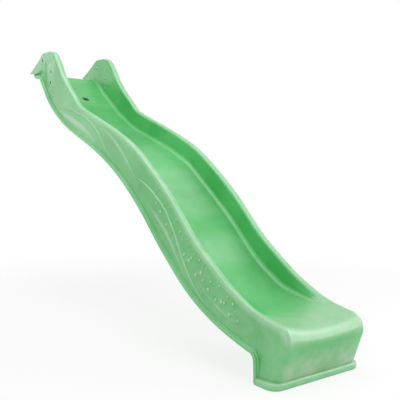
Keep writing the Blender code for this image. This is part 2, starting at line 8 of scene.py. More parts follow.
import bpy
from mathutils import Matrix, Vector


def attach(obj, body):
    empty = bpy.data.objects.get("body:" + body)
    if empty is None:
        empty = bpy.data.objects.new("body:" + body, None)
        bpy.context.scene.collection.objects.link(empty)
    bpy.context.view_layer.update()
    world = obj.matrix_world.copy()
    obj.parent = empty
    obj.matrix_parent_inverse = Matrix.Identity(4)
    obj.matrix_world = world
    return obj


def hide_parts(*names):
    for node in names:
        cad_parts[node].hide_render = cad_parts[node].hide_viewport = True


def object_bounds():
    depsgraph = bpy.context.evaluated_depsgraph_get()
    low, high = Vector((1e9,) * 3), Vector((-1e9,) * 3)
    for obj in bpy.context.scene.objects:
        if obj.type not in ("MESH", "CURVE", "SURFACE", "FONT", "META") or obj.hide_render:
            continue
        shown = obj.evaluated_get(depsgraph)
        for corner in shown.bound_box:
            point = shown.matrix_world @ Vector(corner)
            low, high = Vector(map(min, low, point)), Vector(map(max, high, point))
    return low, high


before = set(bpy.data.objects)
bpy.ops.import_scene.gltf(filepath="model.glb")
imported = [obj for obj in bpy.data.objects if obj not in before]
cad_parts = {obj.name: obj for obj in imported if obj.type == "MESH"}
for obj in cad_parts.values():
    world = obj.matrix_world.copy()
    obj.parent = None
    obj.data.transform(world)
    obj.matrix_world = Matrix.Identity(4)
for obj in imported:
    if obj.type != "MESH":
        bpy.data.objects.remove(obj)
solid_low, solid_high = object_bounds()
print("solid model from", list(solid_low), "to", list(solid_high))

# %% Modules and units
from math import atan2, cos, hypot, pi, radians, sin, sqrt, tan

import bmesh
import bpy
from mathutils import Matrix, Vector

MM = 0.001
BODY = "root"
scene = bpy.context.scene
scene.view_settings.view_transform = "Standard"

# %% [markdown]
# ## Camera
# The camera stands low beside the exit and looks up the chute, two degrees below level. Its
# place follows from the two rims, which run parallel on the real slide and so must meet in one
# vanishing point. A lens is easier to judge than a field of view, so the focal length in pixels
# is turned into millimetres on a 36 mm sensor.

# %% Camera
IMAGE_SIZE = 400
FOCAL_PIXELS = 571.5
SENSOR_WIDTH = 36.0
CAMERA_PLACE = Vector((1.5785, -1.709, 0.791))
CAMERA_DIRECTION = Vector((-0.8044, 0.5931, -0.0348))

camera_data = bpy.data.cameras.new("camera")
camera_data.sensor_width = SENSOR_WIDTH
camera_data.lens = FOCAL_PIXELS * SENSOR_WIDTH / IMAGE_SIZE
camera = bpy.data.objects.new("camera", camera_data)
scene.collection.objects.link(camera)
camera.location = CAMERA_PLACE
camera.rotation_euler = CAMERA_DIRECTION.to_track_quat("-Z", "Y").to_euler()
scene.camera = camera
print("lens", round(camera_data.lens, 2), "mm")

# %% [markdown]
# ## Colours and nodes
# Colours are written as a painter reads them off a chart, in sRGB hex. A shader works with
# light, so one function turns them to linear values. Another adds a node with its settings and
# inputs, which keeps each material short enough to read as a recipe. Inputs are given by name,
# or as a list in the node's own order, as for Map Range: value, from, from, to, to. A Mix
# node's names repeat, so its share and its two colours go to inputs 0, 6 and 7, and the mixed
# colour comes out at 2.

# %% Helpers for materials
def colour(text):
    """Turn an sRGB hex colour into linear red, green, blue and alpha."""
    values = [int(text[i:i + 2], 16) / 255 for i in (1, 3, 5)]
    return [v / 12.92 if v <= 0.04045 else ((v + 0.055) / 1.055) ** 2.4 for v in values] + [1.0]


def set_inputs(tree, node, inputs):
    """Set each input to a plain value, or link it to an output or to a node's first output."""
    for socket, value in inputs.items() if isinstance(inputs, dict) else enumerate(inputs):
        if isinstance(value, bpy.types.Node):
            value = value.outputs[0]
        if isinstance(value, bpy.types.NodeSocket):
            tree.links.new(value, node.inputs[socket])
        else:
            node.inputs[socket].default_value = value


def add_node(tree, kind, inputs=(), **settings):
    """Add a shader node with its settings and inputs."""
    node = tree.nodes.new("ShaderNode" + kind)
    for name, value in settings.items():
        setattr(node, name, value)
    set_inputs(tree, node, inputs)
    return node


def new_material(name, constants=()):
    """Start a material, with constants such as IOR set on the shader's own sockets."""
    print("material:", name)
    made = bpy.data.materials.new(name)
    made.use_nodes = True
    shader = made.node_tree.nodes["Principled BSDF"]
    set_inputs(made.node_tree, shader, constants)
    return made, made.node_tree, shader

# %% [markdown]
# ## Floor, world and lamps
# The slide stands in a white studio. The floor is a matt sheet that takes the slide's shadow,
# and further out it turns into plain white for camera and mirror rays, so no horizon shows. It
# could be a curved backdrop, but a flat sheet lets the slide be seen from every side, and from
# below the sheet is clear. The light is plain: an even world, a large softbox overhead that
# brightens the rims, a broad one beyond the exit that draws the band on the nose, and fills from
# the ears' end, the near side and beside the exit.

# %% World
WORLD_LEVEL = 0.42
WHITE = [1.0, 1.0, 1.0, 1.0]


def seen_rays(tree):
    """The light path, and 1 for rays of the camera and those that gloss or glass sends on."""
    rays = add_node(tree, "LightPath")
    seen = rays.outputs["Is Camera Ray"]
    for kind in ("Is Glossy Ray", "Is Transmission Ray"):
        seen = add_node(tree, "Math", [seen, rays.outputs[kind]], operation="MAXIMUM")
    return rays, seen


world = bpy.data.worlds.new("studio")
world.use_nodes = True
tree = world.node_tree
tree.nodes.clear()
rays, seen = seen_rays(tree)
lit = add_node(tree, "Background", [WHITE, WORLD_LEVEL])
white = add_node(tree, "Background", [WHITE, 1.0])
mixed = add_node(tree, "MixShader", [seen, lit, white])
add_node(tree, "OutputWorld", {"Surface": mixed})
scene.world = world
print("the world lights the slide at", WORLD_LEVEL)

# %% Floor sheet
FLOOR_SIZE = 24.0
FLOOR_DROP = 0.2 * MM       # keeps the sheet just clear of the foot's flat underside


def new_object(name, bm):
    """Turn a bmesh into an object of the scene."""
    mesh = bpy.data.meshes.new(name)
    bm.to_mesh(mesh)
    bm.free()
    made = bpy.data.objects.new(name, mesh)
    scene.collection.objects.link(made)
    return made


sheet = bmesh.new()
bmesh.ops.create_grid(sheet, x_segments=1, y_segments=1, size=FLOOR_SIZE / 2)
bmesh.ops.translate(sheet, vec=(0, 0, -FLOOR_DROP), verts=sheet.verts)
floor_piece = new_object("floor", sheet)

# %% Floor paint
FLOOR_COLOUR = "#F1F2F0"
FLOOR_WHITE_SHARE = 0.82    # plain white mixed into the floor near the slide
FADE_START = 0.8            # the floor turns to plain white between these distances, in metres
FADE_END = 3.2

floor_paint, tree, shader = new_material("matt white studio floor")
tree.nodes.remove(shader)
rays, seen = seen_rays(tree)
place = add_node(tree, "TexCoord")
middle = ((solid_low[0] + solid_high[0]) / 2, 0.0, 0.0)
away = add_node(tree, "VectorMath", [place.outputs["Object"], middle], operation="DISTANCE")
fade = add_node(tree, "MapRange", [away.outputs["Value"], FADE_START, FADE_END, FLOOR_WHITE_SHARE, 1.0],
                interpolation_type="SMOOTHSTEP")
share = add_node(tree, "Math", [seen, fade], operation="MULTIPLY")
matt = add_node(tree, "BsdfDiffuse", [colour(FLOOR_COLOUR)])
glow = add_node(tree, "Emission", [WHITE, 1.0])
mixed = add_node(tree, "MixShader", [share, matt, glow])
face = add_node(tree, "NewGeometry")
beneath = add_node(tree, "Math", [face.outputs["Backfacing"], rays.outputs["Is Camera Ray"]],
                   operation="MULTIPLY")
clear = add_node(tree, "BsdfTransparent")
mixed = add_node(tree, "MixShader", [beneath, mixed, clear])
set_inputs(tree, tree.nodes["Material Output"], {"Surface": mixed})
floor_piece.data.materials.append(floor_paint)
print("a floor", FLOOR_SIZE, "m wide, plain white beyond", FADE_END, "m")

# %% Softboxes
SOFTBOXES = (               # name, place, the point it faces, width, height, watts
    ("nose_softbox", (0.7, 2.1, 1.85), (0.0, 0.0, 0.28), 2.4, 1.3, 32),
    ("top_softbox", (-0.8, -0.4, 3.4), (-0.9, 0.0, 0.8), 3.2, 1.6, 42),
    ("left_softbox", (-4.3, -1.3, 1.75), (-1.9, -0.2, 1.3), 1.6, 1.6, 6),
    ("near_fill", (0.2, -3.2, 1.6), (-1.0, 0.0, 0.7), 3.0, 2.0, 30),
    ("exit_fill", (1.7, 1.6, 0.75), (0.05, 0.1, 0.15), 1.2, 1.0, 12),
)
for name, place, target, width, height, power in SOFTBOXES:
    data = bpy.data.lights.new(name, "AREA")
    data.shape = "RECTANGLE"
    data.size = width
    data.size_y = height
    data.energy = power
    lamp = bpy.data.objects.new(name, data)
    lamp.location = place
    lamp.rotation_euler = (Vector(target) - Vector(place)).to_track_quat("-Z", "Y").to_euler()
    scene.collection.objects.link(lamp)
    print(name, "at", place, power, "W")

# %% [markdown]
# ## The wave
# A side view of the slide shows three lines: the lower edge of the wall, the bed, and the rim.
# They could be drawn as Bezier curves, but then every section would have to be cut from them.
# Here each line is a function of x instead, a smooth curve through a few heights, so that any
# section can ask for its own. The heights are the solid model's own driving sizes.

# %% Driving sizes of the chute
PLATFORM_HEIGHT = 1.500     # ground to the underside of the top lip
CHUTE_RUN = 2.360           # foot centre to the back edge of the lip
WING_REACH = 0.140
BED_WIDTH = 0.344
BED_DISH = 0.010
BED_DEPTH = 0.045
BED_RISE = 0.100
WALL_HEIGHT = 0.100
CREASE_RADIUS = 0.030
INNER_FLARE = 0.0085
RIM_RADIUS = 0.021
OUTER_FLARE = 0.0175
WALL_FOOT = 0.040
HEM_LAND = 0.012
BEAD_REACH = 0.0125

RIM_SPACING = BED_WIDTH + 2 * (INNER_FLARE + RIM_RADIUS)
RIM_WIDTH = RIM_SPACING + 2 * RIM_RADIUS
HEM_WIDTH = RIM_WIDTH + 2 * OUTER_FLARE
CHANNEL_WIDTH = HEM_WIDTH - 2 * WALL_FOOT
OVERALL_WIDTH = HEM_WIDTH + 2 * BEAD_REACH
LIP_BACK = -CHUTE_RUN
WING_TIP = LIP_BACK - WING_REACH

FOOT_LENGTH = 0.128
FOOT_PLATE_HEIGHT = 0.030
FOOT_INSET = 0.010
FOOT_SOLE = 0.004
FOOT_FILLET = 0.030
FOOT_DRAFT = 0.0035
FOOT_HEM_HEIGHT = 0.112
EXIT_OPENING = 0.290        # over this length before the foot the channel opens into a saddle
FOOT_BACK = -FOOT_LENGTH / 2 + FOOT_INSET
FOOT_FRONT = FOOT_LENGTH / 2 - FOOT_INSET
FILLET_START = FOOT_BACK - FOOT_DRAFT - FOOT_FILLET
print("over the walls", round(OVERALL_WIDTH, 4), "m, width of the channel", BED_WIDTH, "m")

# %% Smooth curves
def clamp(value, low=0.0, high=1.0):
    return min(max(value, low), high)


def lerp(a, b, t):
    return a + (b - a) * t


def ease(t):
    """Go softly from 0 to 1."""
    t = clamp(t)
    return t**2 * (3 - 2 * t)


def smooth(knots):
    """Return a smooth curve through the knots that never overshoots between them."""
    xs, zs = zip(*knots)
    gaps = [b - a for a, b in zip(xs, xs[1:])]
    rises = [(b - a) / gap for a, b, gap in zip(zs, zs[1:], gaps)]
    slopes = [rises[0]]
    for last_gap, gap, before, after in zip(gaps, gaps[1:], rises, rises[1:]):
        near = 2 * gap + last_gap
        far = gap + 2 * last_gap
        slopes.append((near + far) / (near / before + far / after) if before * after > 0 else 0.0)
    slopes.append(rises[-1])

    def curve(x):
        x = clamp(x, xs[0], xs[-1])
        i = max(k for k in range(len(gaps)) if x >= xs[k])
        t = (x - xs[i]) / gaps[i]
        return ((2 * t**3 - 3 * t**2 + 1) * zs[i] + (t**3 - 2 * t**2 + t) * gaps[i] * slopes[i]
                + (3 * t**2 - 2 * t**3) * zs[i + 1] + (t**3 - t**2) * gaps[i] * slopes[i + 1])

    return curve

# %% Heights along the run
LIP_ROUND = 0.012           # rounding of the lip's top edge
LIP_CUT = 0.03              # share of that rounding that is left out, where it gets steep
DISH_START = 0.250
# Each pair is a share of the chute's run and a share of the height that it scales.
hem_share = smooth((
    (0.0225, 0.0), (0.06, 0.016), (0.12, 0.048), (0.20, 0.113), (0.30, 0.243), (0.40, 0.398),
    (0.50, 0.521), (0.60, 0.609), (0.70, 0.678), (0.78, 0.736), (0.85, 0.807), (0.90, 0.876),
    (0.95, 0.974), (0.968, 1.0), (1.06, 1.0)))
bed_share = smooth((        # above the hem
    (0.0225, 1.08), (0.06, 0.92), (0.12, 1.00), (0.20, 1.16), (0.30, 1.47), (0.40, 1.16),
    (0.45, 1.12), (0.50, 0.92), (0.60, 0.66), (0.70, 0.56), (0.78, 0.75), (0.85, 0.86),
    (0.90, 0.78), (0.95, 0.37), (0.968, 0.24), (1.06, 0.22)))
rim_share = smooth((        # above the bed
    (0.0225, 0.46), (0.055, 0.69), (0.11, 0.91), (0.17, 1.15), (0.24, 1.28), (0.34, 1.34),
    (0.40, 1.31), (0.47, 1.14), (0.61, 1.14), (0.67, 1.18), (0.715, 1.19), (0.755, 1.47),
    (0.79, 1.68), (0.83, 1.98), (0.866, 2.50), (0.884, 2.62), (0.905, 2.40), (0.953, 1.64),
    (1.0, 1.12), (1.06, 0.58)))

# %% Lines of the wave
def hem_line(x):
    """Lower edge of the side wall."""
    return lerp(FOOT_HEM_HEIGHT, PLATFORM_HEIGHT, hem_share(-x / CHUTE_RUN))


def hem(x):
    """The same edge, with the fillet that turns it down the back of the foot."""
    if x <= FILLET_START:
        return hem_line(x)
    drop = FOOT_FILLET - sqrt(max(FOOT_FILLET**2 - (x - FILLET_START)**2, 0.0))
    return hem_line(FILLET_START) - drop


def bed_line(x):
    return hem_line(x) + BED_RISE * bed_share(-x / CHUTE_RUN)


def bed(x):
    """Bed at the foot of the walls, rounded down at the lip's back edge."""
    past = clamp(LIP_BACK + LIP_ROUND - x, 0.0, (1 - LIP_CUT) * LIP_ROUND)
    return bed_line(x) - LIP_ROUND + sqrt(LIP_ROUND**2 - past**2)


def dish(x):
    """Sag of the bed's middle."""
    return BED_DISH * clamp((x - LIP_BACK) / DISH_START)


def rim(x):
    return bed_line(x) + WALL_HEIGHT * rim_share(-x / CHUTE_RUN)


def opening(x):
    """How far the channel has opened out towards the exit, from 0 to 1."""
    return ease((x - FOOT_BACK) / EXIT_OPENING + 1)


def slope(line, x, step=2 * MM):
    return (line(x + step) - line(x - step)) / (2 * step)


def outer_wall_y(x, z):
    """Half width over the outer walls."""
    high = rim(x) - RIM_RADIUS
    return RIM_WIDTH / 2 + OUTER_FLARE * (high - z) / (high - hem(x))


def inner_wall_y(x, z):
    """Half width of the chute inside."""
    low = bed(x) + CREASE_RADIUS
    return BED_WIDTH / 2 + INNER_FLARE * (z - low) / (rim(x) - RIM_RADIUS - low)


print("highest point of the ears", round(max(rim(LIP_BACK + 5 * MM * k) for k in range(99)), 3), "m")
print("bed at the exit", round(bed(FOOT_BACK), 3), "m")

# %% [markdown]
# ## Wrapping a sheet round outlines
# A moulded skin is easiest to make as a sheet of squares that is wrapped round a row of closed
# outlines. One grid operator makes the sheet, each of its corners moves to its place on an
# outline, and merging the doubles closes the seam. The chute, its beads and the raised waves are
# all made like this, so the step has a function of its own. Round pieces are spun, and a solid
# is cut by a boolean, for good, so that no modifier is left on a piece.

# %% Arcs and wrapped sheets
def arc(centre, radius, first, last, steps, height=None):
    """Points of an arc between two angles in degrees. With a height it is a part of an ellipse."""
    turns = [radians(lerp(first, last, k / steps)) for k in range(steps + 1)]
    return [(centre[0] + radius * cos(t), centre[1] + (height or radius) * sin(t)) for t in turns]


def wrap(rings):
    """Wrap a grid round a row of closed outlines and close both ends."""
    around = len(rings[0])
    along = len(rings) - 1
    bm = bmesh.new()
    bmesh.ops.create_grid(bm, x_segments=around, y_segments=along, size=1)
    for v in bm.verts:
        i = round((v.co.x + 1) / 2 * around)
        j = round((v.co.y + 1) / 2 * along)
        v.co = rings[j][i % around]
    bmesh.ops.remove_doubles(bm, verts=bm.verts, dist=0.01 * MM)
    bmesh.ops.holes_fill(bm, edges=bm.edges, sides=0)
    bmesh.ops.recalc_face_normals(bm, faces=bm.faces)
    return bm

# %% Turned and extruded solids
def turned(profile, steps=48):
    """Spin an (r, z) outline about Z into a closed solid."""
    bm = bmesh.new()
    verts = [bm.verts.new((r, 0, z)) for r, z in profile]
    edges = [bm.edges.new(pair) for pair in zip(verts, verts[1:])]
    if profile[0][0] > 0:
        edges.append(bm.edges.new((verts[-1], verts[0])))
    bmesh.ops.spin(bm, geom=verts + edges, cent=(0, 0, 0), axis=(0, 0, 1), angle=2 * pi, steps=steps,
                   use_merge=True)
    bmesh.ops.remove_doubles(bm, verts=bm.verts, dist=0.001 * MM)
    bmesh.ops.recalc_face_normals(bm, faces=bm.faces)
    return bm


def extruded(outline, depth):
    """Fill an (x, y) outline and extrude it up by depth."""
    bm = bmesh.new()
    face = bm.faces.new([bm.verts.new((x, y, 0)) for x, y in outline])
    grown = bmesh.ops.extrude_face_region(bm, geom=[face])
    verts = [v for v in grown["geom"] if isinstance(v, bmesh.types.BMVert)]
    bmesh.ops.translate(bm, verts=verts, vec=(0, 0, depth))
    bmesh.ops.recalc_face_normals(bm, faces=bm.faces)
    return bm


def placed(bm, matrix):
    bmesh.ops.transform(bm, matrix=matrix, verts=bm.verts)
    return bm

# %% Joining and cutting
def join(target, source, matrix=Matrix()):
    """Move a bmesh into another, placed by a matrix."""
    mesh = bpy.data.meshes.new("moved")
    source.to_mesh(mesh)
    source.free()
    mesh.transform(matrix)
    target.from_mesh(mesh)
    bpy.data.meshes.remove(mesh)


def cut(solid, tool):
    """Take a closed tool away from a closed solid. Neither may cross itself."""
    helpers = [new_object("helper", bm) for bm in (solid, tool)]
    modifier = helpers[0].modifiers.new("cut", "BOOLEAN")
    modifier.operation = "DIFFERENCE"
    modifier.solver = "EXACT"
    modifier.object = helpers[1]
    view = bpy.context.evaluated_depsgraph_get()
    shape = bpy.data.meshes.new_from_object(helpers[0].evaluated_get(view))
    result = bmesh.new()
    result.from_mesh(shape)
    many_sided = [f for f in result.faces if len(f.verts) > 4]
    bmesh.ops.triangulate(result, faces=many_sided, quad_method="BEAUTY", ngon_method="BEAUTY")
    bmesh.ops.dissolve_degenerate(result, dist=0.001 * MM, edges=result.edges)
    bpy.data.meshes.remove(shape)
    for helper in helpers:
        bpy.data.objects.remove(helper, do_unlink=True)
    print(len(result.faces), "faces after the cut")
    return result

# %% Finished pieces
SHARP = 35                  # edges that turn by more degrees than this stay sharp


def add_piece(name, bm, surface, node=None, sharp=SHARP):
    """Make a finished piece that rides on the slide and may stand for a node of the solid model."""
    piece = new_object(name, bm)
    piece.data.shade_smooth()
    piece.data.set_sharp_from_angle(angle=radians(sharp))
    piece.data.materials.append(surface)
    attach(piece, BODY)
    if node:
        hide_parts(node)
    print(name, len(piece.data.polygons), "faces")
    return piece

# %% [markdown]
# ## Polyethylene
# The body is high-density polyethylene, blown into a cold mould. That gives a satin gloss
# rather than a shine, a very slight waviness over a hand's breadth where the skin shrank, and
# a fine grain from the mould. Sliding trousers leave faint scratches along the run, only on
# what faces up. The grain of the real mould is about half a millimetre, too fine to show here,
# so it is drawn at a few millimetres. Where the skin is rubbed it goes paler, and where it is
# dusty it turns chalky. The same two shades also give painted highlights on the rims, nose,
# beads, flange and ridges, painted reflection on the steep bed and the foot's lower front, and
# painted sheen on the nose and the outer walls. Two maps on each piece say where, and patches
# break them up.

# %% Colours and patterns of the polyethylene
GREEN = "#3FAC55"
GREEN_LIGHT = "#5ABF6E"
GREEN_SCUFFED = "#8ACF97"
# this pale shade also paints the highlights on the rims, nose, beads, flange and ridges
GREEN_RUBBED_AND_HIGHLIGHT = "#9AD1A3"
# this chalky shade also paints a sheen on the nose and the outer walls, and reflection on the foot's lower
# front
GREEN_CHALKY_AND_SHEEN = "#A3C59F"
GRAIN = 2.5 * MM
GRAIN_BUMP = {"Strength": 0.25, "Distance": 0.12 * MM}
WAVINESS = 90 * MM
WAVY_BUMP = {"Strength": 0.5, "Distance": 1.2 * MM}
MOTTLED = (0.3, 0.7)        # the part of that noise that is used
BLOTCHES = (0.7, 1.2)       # and what it does to the rubbed and highlighted places
SATIN = (0.30, 0.40)        # and to the roughness
TINT_PATCH = 330 * MM
TINTED = (0.38, 0.62)
CHALKY_PATCH = 45 * MM
PATCH_RANGE = (0.35, 0.65)
CHALK_AND_SHEEN_SPREAD = (0.6, 1.4)        # what patches do to the chalky and sheened places
SCRATCH_WIDTH = 1.6 * MM
SCRATCH_LENGTH = 300 * MM
SCRATCHED = (0.60, 0.78)
UPWARD = (0.35, 0.75)       # scratches start where the surface turns up this far
SCRATCH_SHARE = 0.22
RUBBED_AND_HIGHLIGHT = "rubbed_and_highlight"           # names of the two maps, of wear and painted light, that the pieces carry
CHALKY_AND_SHEEN = "chalky_and_sheen"

# %% Moulded polyethylene
def moulded_polyethylene(name):
    made, tree, shader = new_material(name, {"IOR": 1.54, "Specular IOR Level": 0.7})
    place = add_node(tree, "TexCoord")
    spot = place.outputs["Object"]
    patch, mottle, patch_noise, grit = [
        add_node(tree, "TexNoise", {"Vector": spot, "Scale": 1 / size, "Detail": detail})
        for size, detail in ((TINT_PATCH, 3), (WAVINESS, 2), (CHALKY_PATCH, 3), (GRAIN, 2))]
    uneven = add_node(tree, "MapRange", [patch, *TINTED])
    tint = add_node(tree, "Mix", {0: uneven, 6: colour(GREEN), 7: colour(GREEN_LIGHT)}, data_type="RGBA")
    along = add_node(tree, "Mapping", {
        "Vector": spot, "Scale": (1 / SCRATCH_LENGTH, 1 / SCRATCH_WIDTH, 1 / SCRATCH_LENGTH)})
    lines = add_node(tree, "TexNoise", {"Vector": along, "Scale": 1, "Detail": 4})
    thin = add_node(tree, "MapRange", [lines, *SCRATCHED])
    facing = add_node(tree, "SeparateXYZ", [place.outputs["Normal"]])
    upward = add_node(tree, "MapRange", [facing.outputs["Z"], *UPWARD, 0, SCRATCH_SHARE])
    scuff = add_node(tree, "Math", [thin, upward], operation="MULTIPLY")
    wear_and_highlight = add_node(tree, "Mix", {0: scuff, 6: tint.outputs[2], 7: colour(GREEN_SCUFFED)}, data_type="RGBA")
    blotch = add_node(tree, "MapRange", [mottle, *MOTTLED, *BLOTCHES])
    chalk_and_sheen_spread = add_node(tree, "MapRange", [patch_noise, *PATCH_RANGE, *CHALK_AND_SHEEN_SPREAD])
    # the two maps paint highlights, reflection and sheen as well as wear
    for wear_and_painted_light, shade, spread in ((RUBBED_AND_HIGHLIGHT, GREEN_RUBBED_AND_HIGHLIGHT, blotch), (CHALKY_AND_SHEEN, GREEN_CHALKY_AND_SHEEN, chalk_and_sheen_spread)):
        stored = add_node(tree, "Attribute", attribute_name=wear_and_painted_light)
        amount = add_node(tree, "Math", [stored.outputs["Fac"], spread], operation="MULTIPLY",
                          use_clamp=True)
        wear_and_highlight = add_node(tree, "Mix", {0: amount, 6: wear_and_highlight.outputs[2], 7: colour(shade)}, data_type="RGBA")
    satin = add_node(tree, "MapRange", [mottle, *MOTTLED, *SATIN])
    rough = add_node(tree, "Math", [scuff, satin], operation="ADD")
    wavy = add_node(tree, "Bump", {"Height": mottle, **WAVY_BUMP})
    grain = add_node(tree, "Bump", {"Height": grit, "Normal": wavy, **GRAIN_BUMP})
    set_inputs(tree, shader, {"Base Color": wear_and_highlight.outputs[2], "Roughness": rough, "Normal": grain})
    return made


polyethylene = moulded_polyethylene("blow-moulded polyethylene, satin apple green")

# %% [markdown]
# ## The body
# On the real slide this is one hollow blow moulding. It could be a subdivision surface over the
# plain solid, but that would round the nose and the ears by an amount nobody chose. Wrapping a
# fine sheet round true sections keeps every line of the wave and the round of every edge.

# %% Post seats in the outer walls
SEAT_BACK = 0.160           # ahead of the lip's back edge, as the seat's front
SEAT_FRONT = 0.300
SEAT_TOP = 0.097            # above the lip's underside
SEAT_BOTTOM = -0.090
SEAT_CORNER = 0.060
SEAT_DRAFT = radians(2.7)
SEAT_STEP = 6 * MM          # width of the soft step round a seat
SEAT_FADE = 22 * MM         # over this height the seat's top runs out into the wall


def seat_y(z):
    """Distance of a post seat from the middle plane."""
    return RIM_WIDTH / 2 + (PLATFORM_HEIGHT + SEAT_TOP - z) * tan(SEAT_DRAFT)


def seat_share(x, z):
    """1 on a post seat, 0 outside it, with a soft step between them."""
    half = (SEAT_FRONT - SEAT_BACK) / 2
    beside = max(abs(x - LIP_BACK - SEAT_BACK - half) - half + SEAT_CORNER, 0.0)
    beneath = max(PLATFORM_HEIGHT + SEAT_BOTTOM + SEAT_CORNER - z, 0.0)
    outside = hypot(beside, beneath) - SEAT_CORNER
    return ease(0.5 - outside / SEAT_STEP) * ease((PLATFORM_HEIGHT + SEAT_TOP - z) / SEAT_FADE)


print("post seats", round(2 * seat_y(PLATFORM_HEIGHT + SEAT_TOP), 4), "m apart at their tops")

# %% One section of the chute
SADDLE_POWER = 2.2          # the saddle rises from its middle to the rims by this power
BED_STEPS = 10
CREASE_STEPS = 8
WALL_STEPS = 6
RIM_STEPS = 8
PANEL_STEPS = 30
CORNER_STEPS = 4
EDGE_ROUND = 3 * MM         # round of the moulding's lower edges
ROOF_ROUND = 14 * MM        # fillet of the hollow under the bed
ROUND_SHARE = 0.4           # a round takes no more than this share of the height beside it
PANEL_SHARE = 0.98          # a low outer panel ends at this share of its height
ROOF_PLACES = (0.75, 0.5, 0.25)


def half_section(low, floor, top, sag, opened, inset=0.0):
    """Points of the left half, middle of the bed to the hem, as (y, point in the XZ plane).

    low, floor and top are the hem, bed and rim points. opened says how far the channel has
    turned into a saddle from rim to rim. inset makes the wall thinner all round.
    """
    radius = RIM_RADIUS - inset
    wall = (top - floor).length
    up_wall = (top - floor) / wall
    side = (top - low).length
    down_side = (low - top) / side
    crease = min(CREASE_RADIUS, ROUND_SHARE * wall)
    round_in = min(RIM_RADIUS, wall / 2) - inset
    top = top - up_wall * inset
    wall -= inset
    foot_y = BED_WIDTH / 2 + inset
    flat_y = foot_y - crease
    crest_y = RIM_SPACING / 2
    channel = [(flat_y * k / BED_STEPS, -sag * (1 - (k / BED_STEPS)**2)) for k in range(BED_STEPS)]
    channel += arc((flat_y, crease), crease, 270, 360, CREASE_STEPS)[:-1]
    for k in range(WALL_STEPS):
        share = k / WALL_STEPS
        channel.append((lerp(foot_y, crest_y - radius, share), lerp(crease, wall - round_in, share)))
    channel += arc((crest_y, wall - round_in), radius, 180, 90, RIM_STEPS, round_in)[:-1]
    points = []
    for y, height in channel:
        saddle = wall * (y / crest_y)**SADDLE_POWER
        points.append((y, floor + up_wall * lerp(height, saddle, opened)))
    for y, drop in arc((crest_y, radius), radius, 270, 360, RIM_STEPS)[:-1]:
        points.append((y, top + down_side * drop))
    foot_of_wall = max(side - EDGE_ROUND, PANEL_SHARE * side)
    for k in range(PANEL_STEPS + 1):
        drop = lerp(RIM_RADIUS, foot_of_wall, k / PANEL_STEPS)
        here = top + down_side * drop
        y = lerp(crest_y + radius, HEM_WIDTH / 2 - inset, drop / side)
        points.append((lerp(y, min(y, seat_y(here.y)), seat_share(here.x, here.y)), here))
    return points

# %% Underside of a section
def underside(low, floor):
    """Points under the left half: round lower edge, wall bottom, and the hollow below the bed."""
    roof = max(low.y, floor.y - BED_DISH - BED_DEPTH)
    channel_y = CHANNEL_WIDTH / 2
    most = ROUND_SHARE * (roof - low.y)
    outline = ((HEM_WIDTH / 2, low.y + EDGE_ROUND), (HEM_WIDTH / 2, low.y),
               (HEM_WIDTH / 2 - HEM_LAND, low.y), (channel_y, roof), (0.0, roof))
    corners = [Vector(p) for p in outline]
    rounds = (EDGE_ROUND, min(EDGE_ROUND, most), min(ROOF_ROUND, most))
    points = []
    for before, here, after, size in zip(corners, corners[1:], corners[2:], rounds):
        start = here + (before - here).normalized() * size
        end = here + (after - here).normalized() * size
        for k in range(CORNER_STEPS + 1):
            t = k / CORNER_STEPS
            points.append(start * (1 - t)**2 + here * 2 * t * (1 - t) + end * t**2)
    points += [Vector((channel_y * share, roof)) for share in ROOF_PLACES]
    return [(p.x, Vector((low.x, p.y))) for p in points]


def whole_ring(half, beneath):
    """Mirror a half section into the closed outline, starting at the bed's middle."""
    left = half + beneath
    middle_below = [(0.0, beneath[-1][1])]
    right = [(-y, p) for y, p in reversed(left[1:])]
    return [Vector((p.x, y, p.y)) for y, p in left + middle_below + right]

# %% Sections along the chute
STATION_STEP = 8 * MM
SEAT_STATION_STEP = 3 * MM
TIP_ROUND = 8 * MM          # round of the ears' tips
TIP_SHARE = 0.8             # how much of it the walls' thickness follows
TIP_STEPS = 6
LIP_STEPS = 8
LIP_CROWDING = 1.5          # brings the lip's stations together where it is steep
FILLET_STEPS = 8


def station_places():
    """Places along x that get a section, from the ears' tips to the back of the foot."""
    tip = [x for x, z in arc((WING_TIP + TIP_ROUND, 0), TIP_ROUND, 180, 90, TIP_STEPS)[:-1]]
    crowded = [(k / LIP_STEPS)**LIP_CROWDING for k in range(LIP_STEPS + 1)]
    lip = [LIP_BACK + LIP_ROUND * lerp(LIP_CUT, 1, share) for share in crowded]
    wing_count = round((lip[0] - tip[-1]) / STATION_STEP)
    wing = [lerp(WING_TIP + TIP_ROUND, lip[0], k / wing_count) for k in range(wing_count)]
    chute = []
    x = lip[-1]
    while x < FILLET_START - STATION_STEP:
        near_seat = SEAT_BACK - STATION_STEP < x - LIP_BACK < SEAT_FRONT + STATION_STEP
        x += SEAT_STATION_STEP if near_seat else STATION_STEP
        chute.append(x)
    chute[-1] = FILLET_START
    fillet = [x for x, z in arc((FILLET_START, 0), FOOT_FILLET, 90, 0, FILLET_STEPS)[1:]]
    return tip + wing + lip + chute + fillet


rings = []
for x in station_places():
    low, floor, top = [Vector((x, line(x))) for line in (hem, bed, rim)]
    past = clamp(WING_TIP + TIP_ROUND - x, 0.0, TIP_ROUND)
    inset = TIP_SHARE * (TIP_ROUND - sqrt(TIP_ROUND**2 - past**2))
    rings.append(whole_ring(half_section(low, floor, top, dish(x), opening(x), inset), underside(low, floor)))
print(len(rings), "sections down to the foot, each of", len(rings[0]), "points")

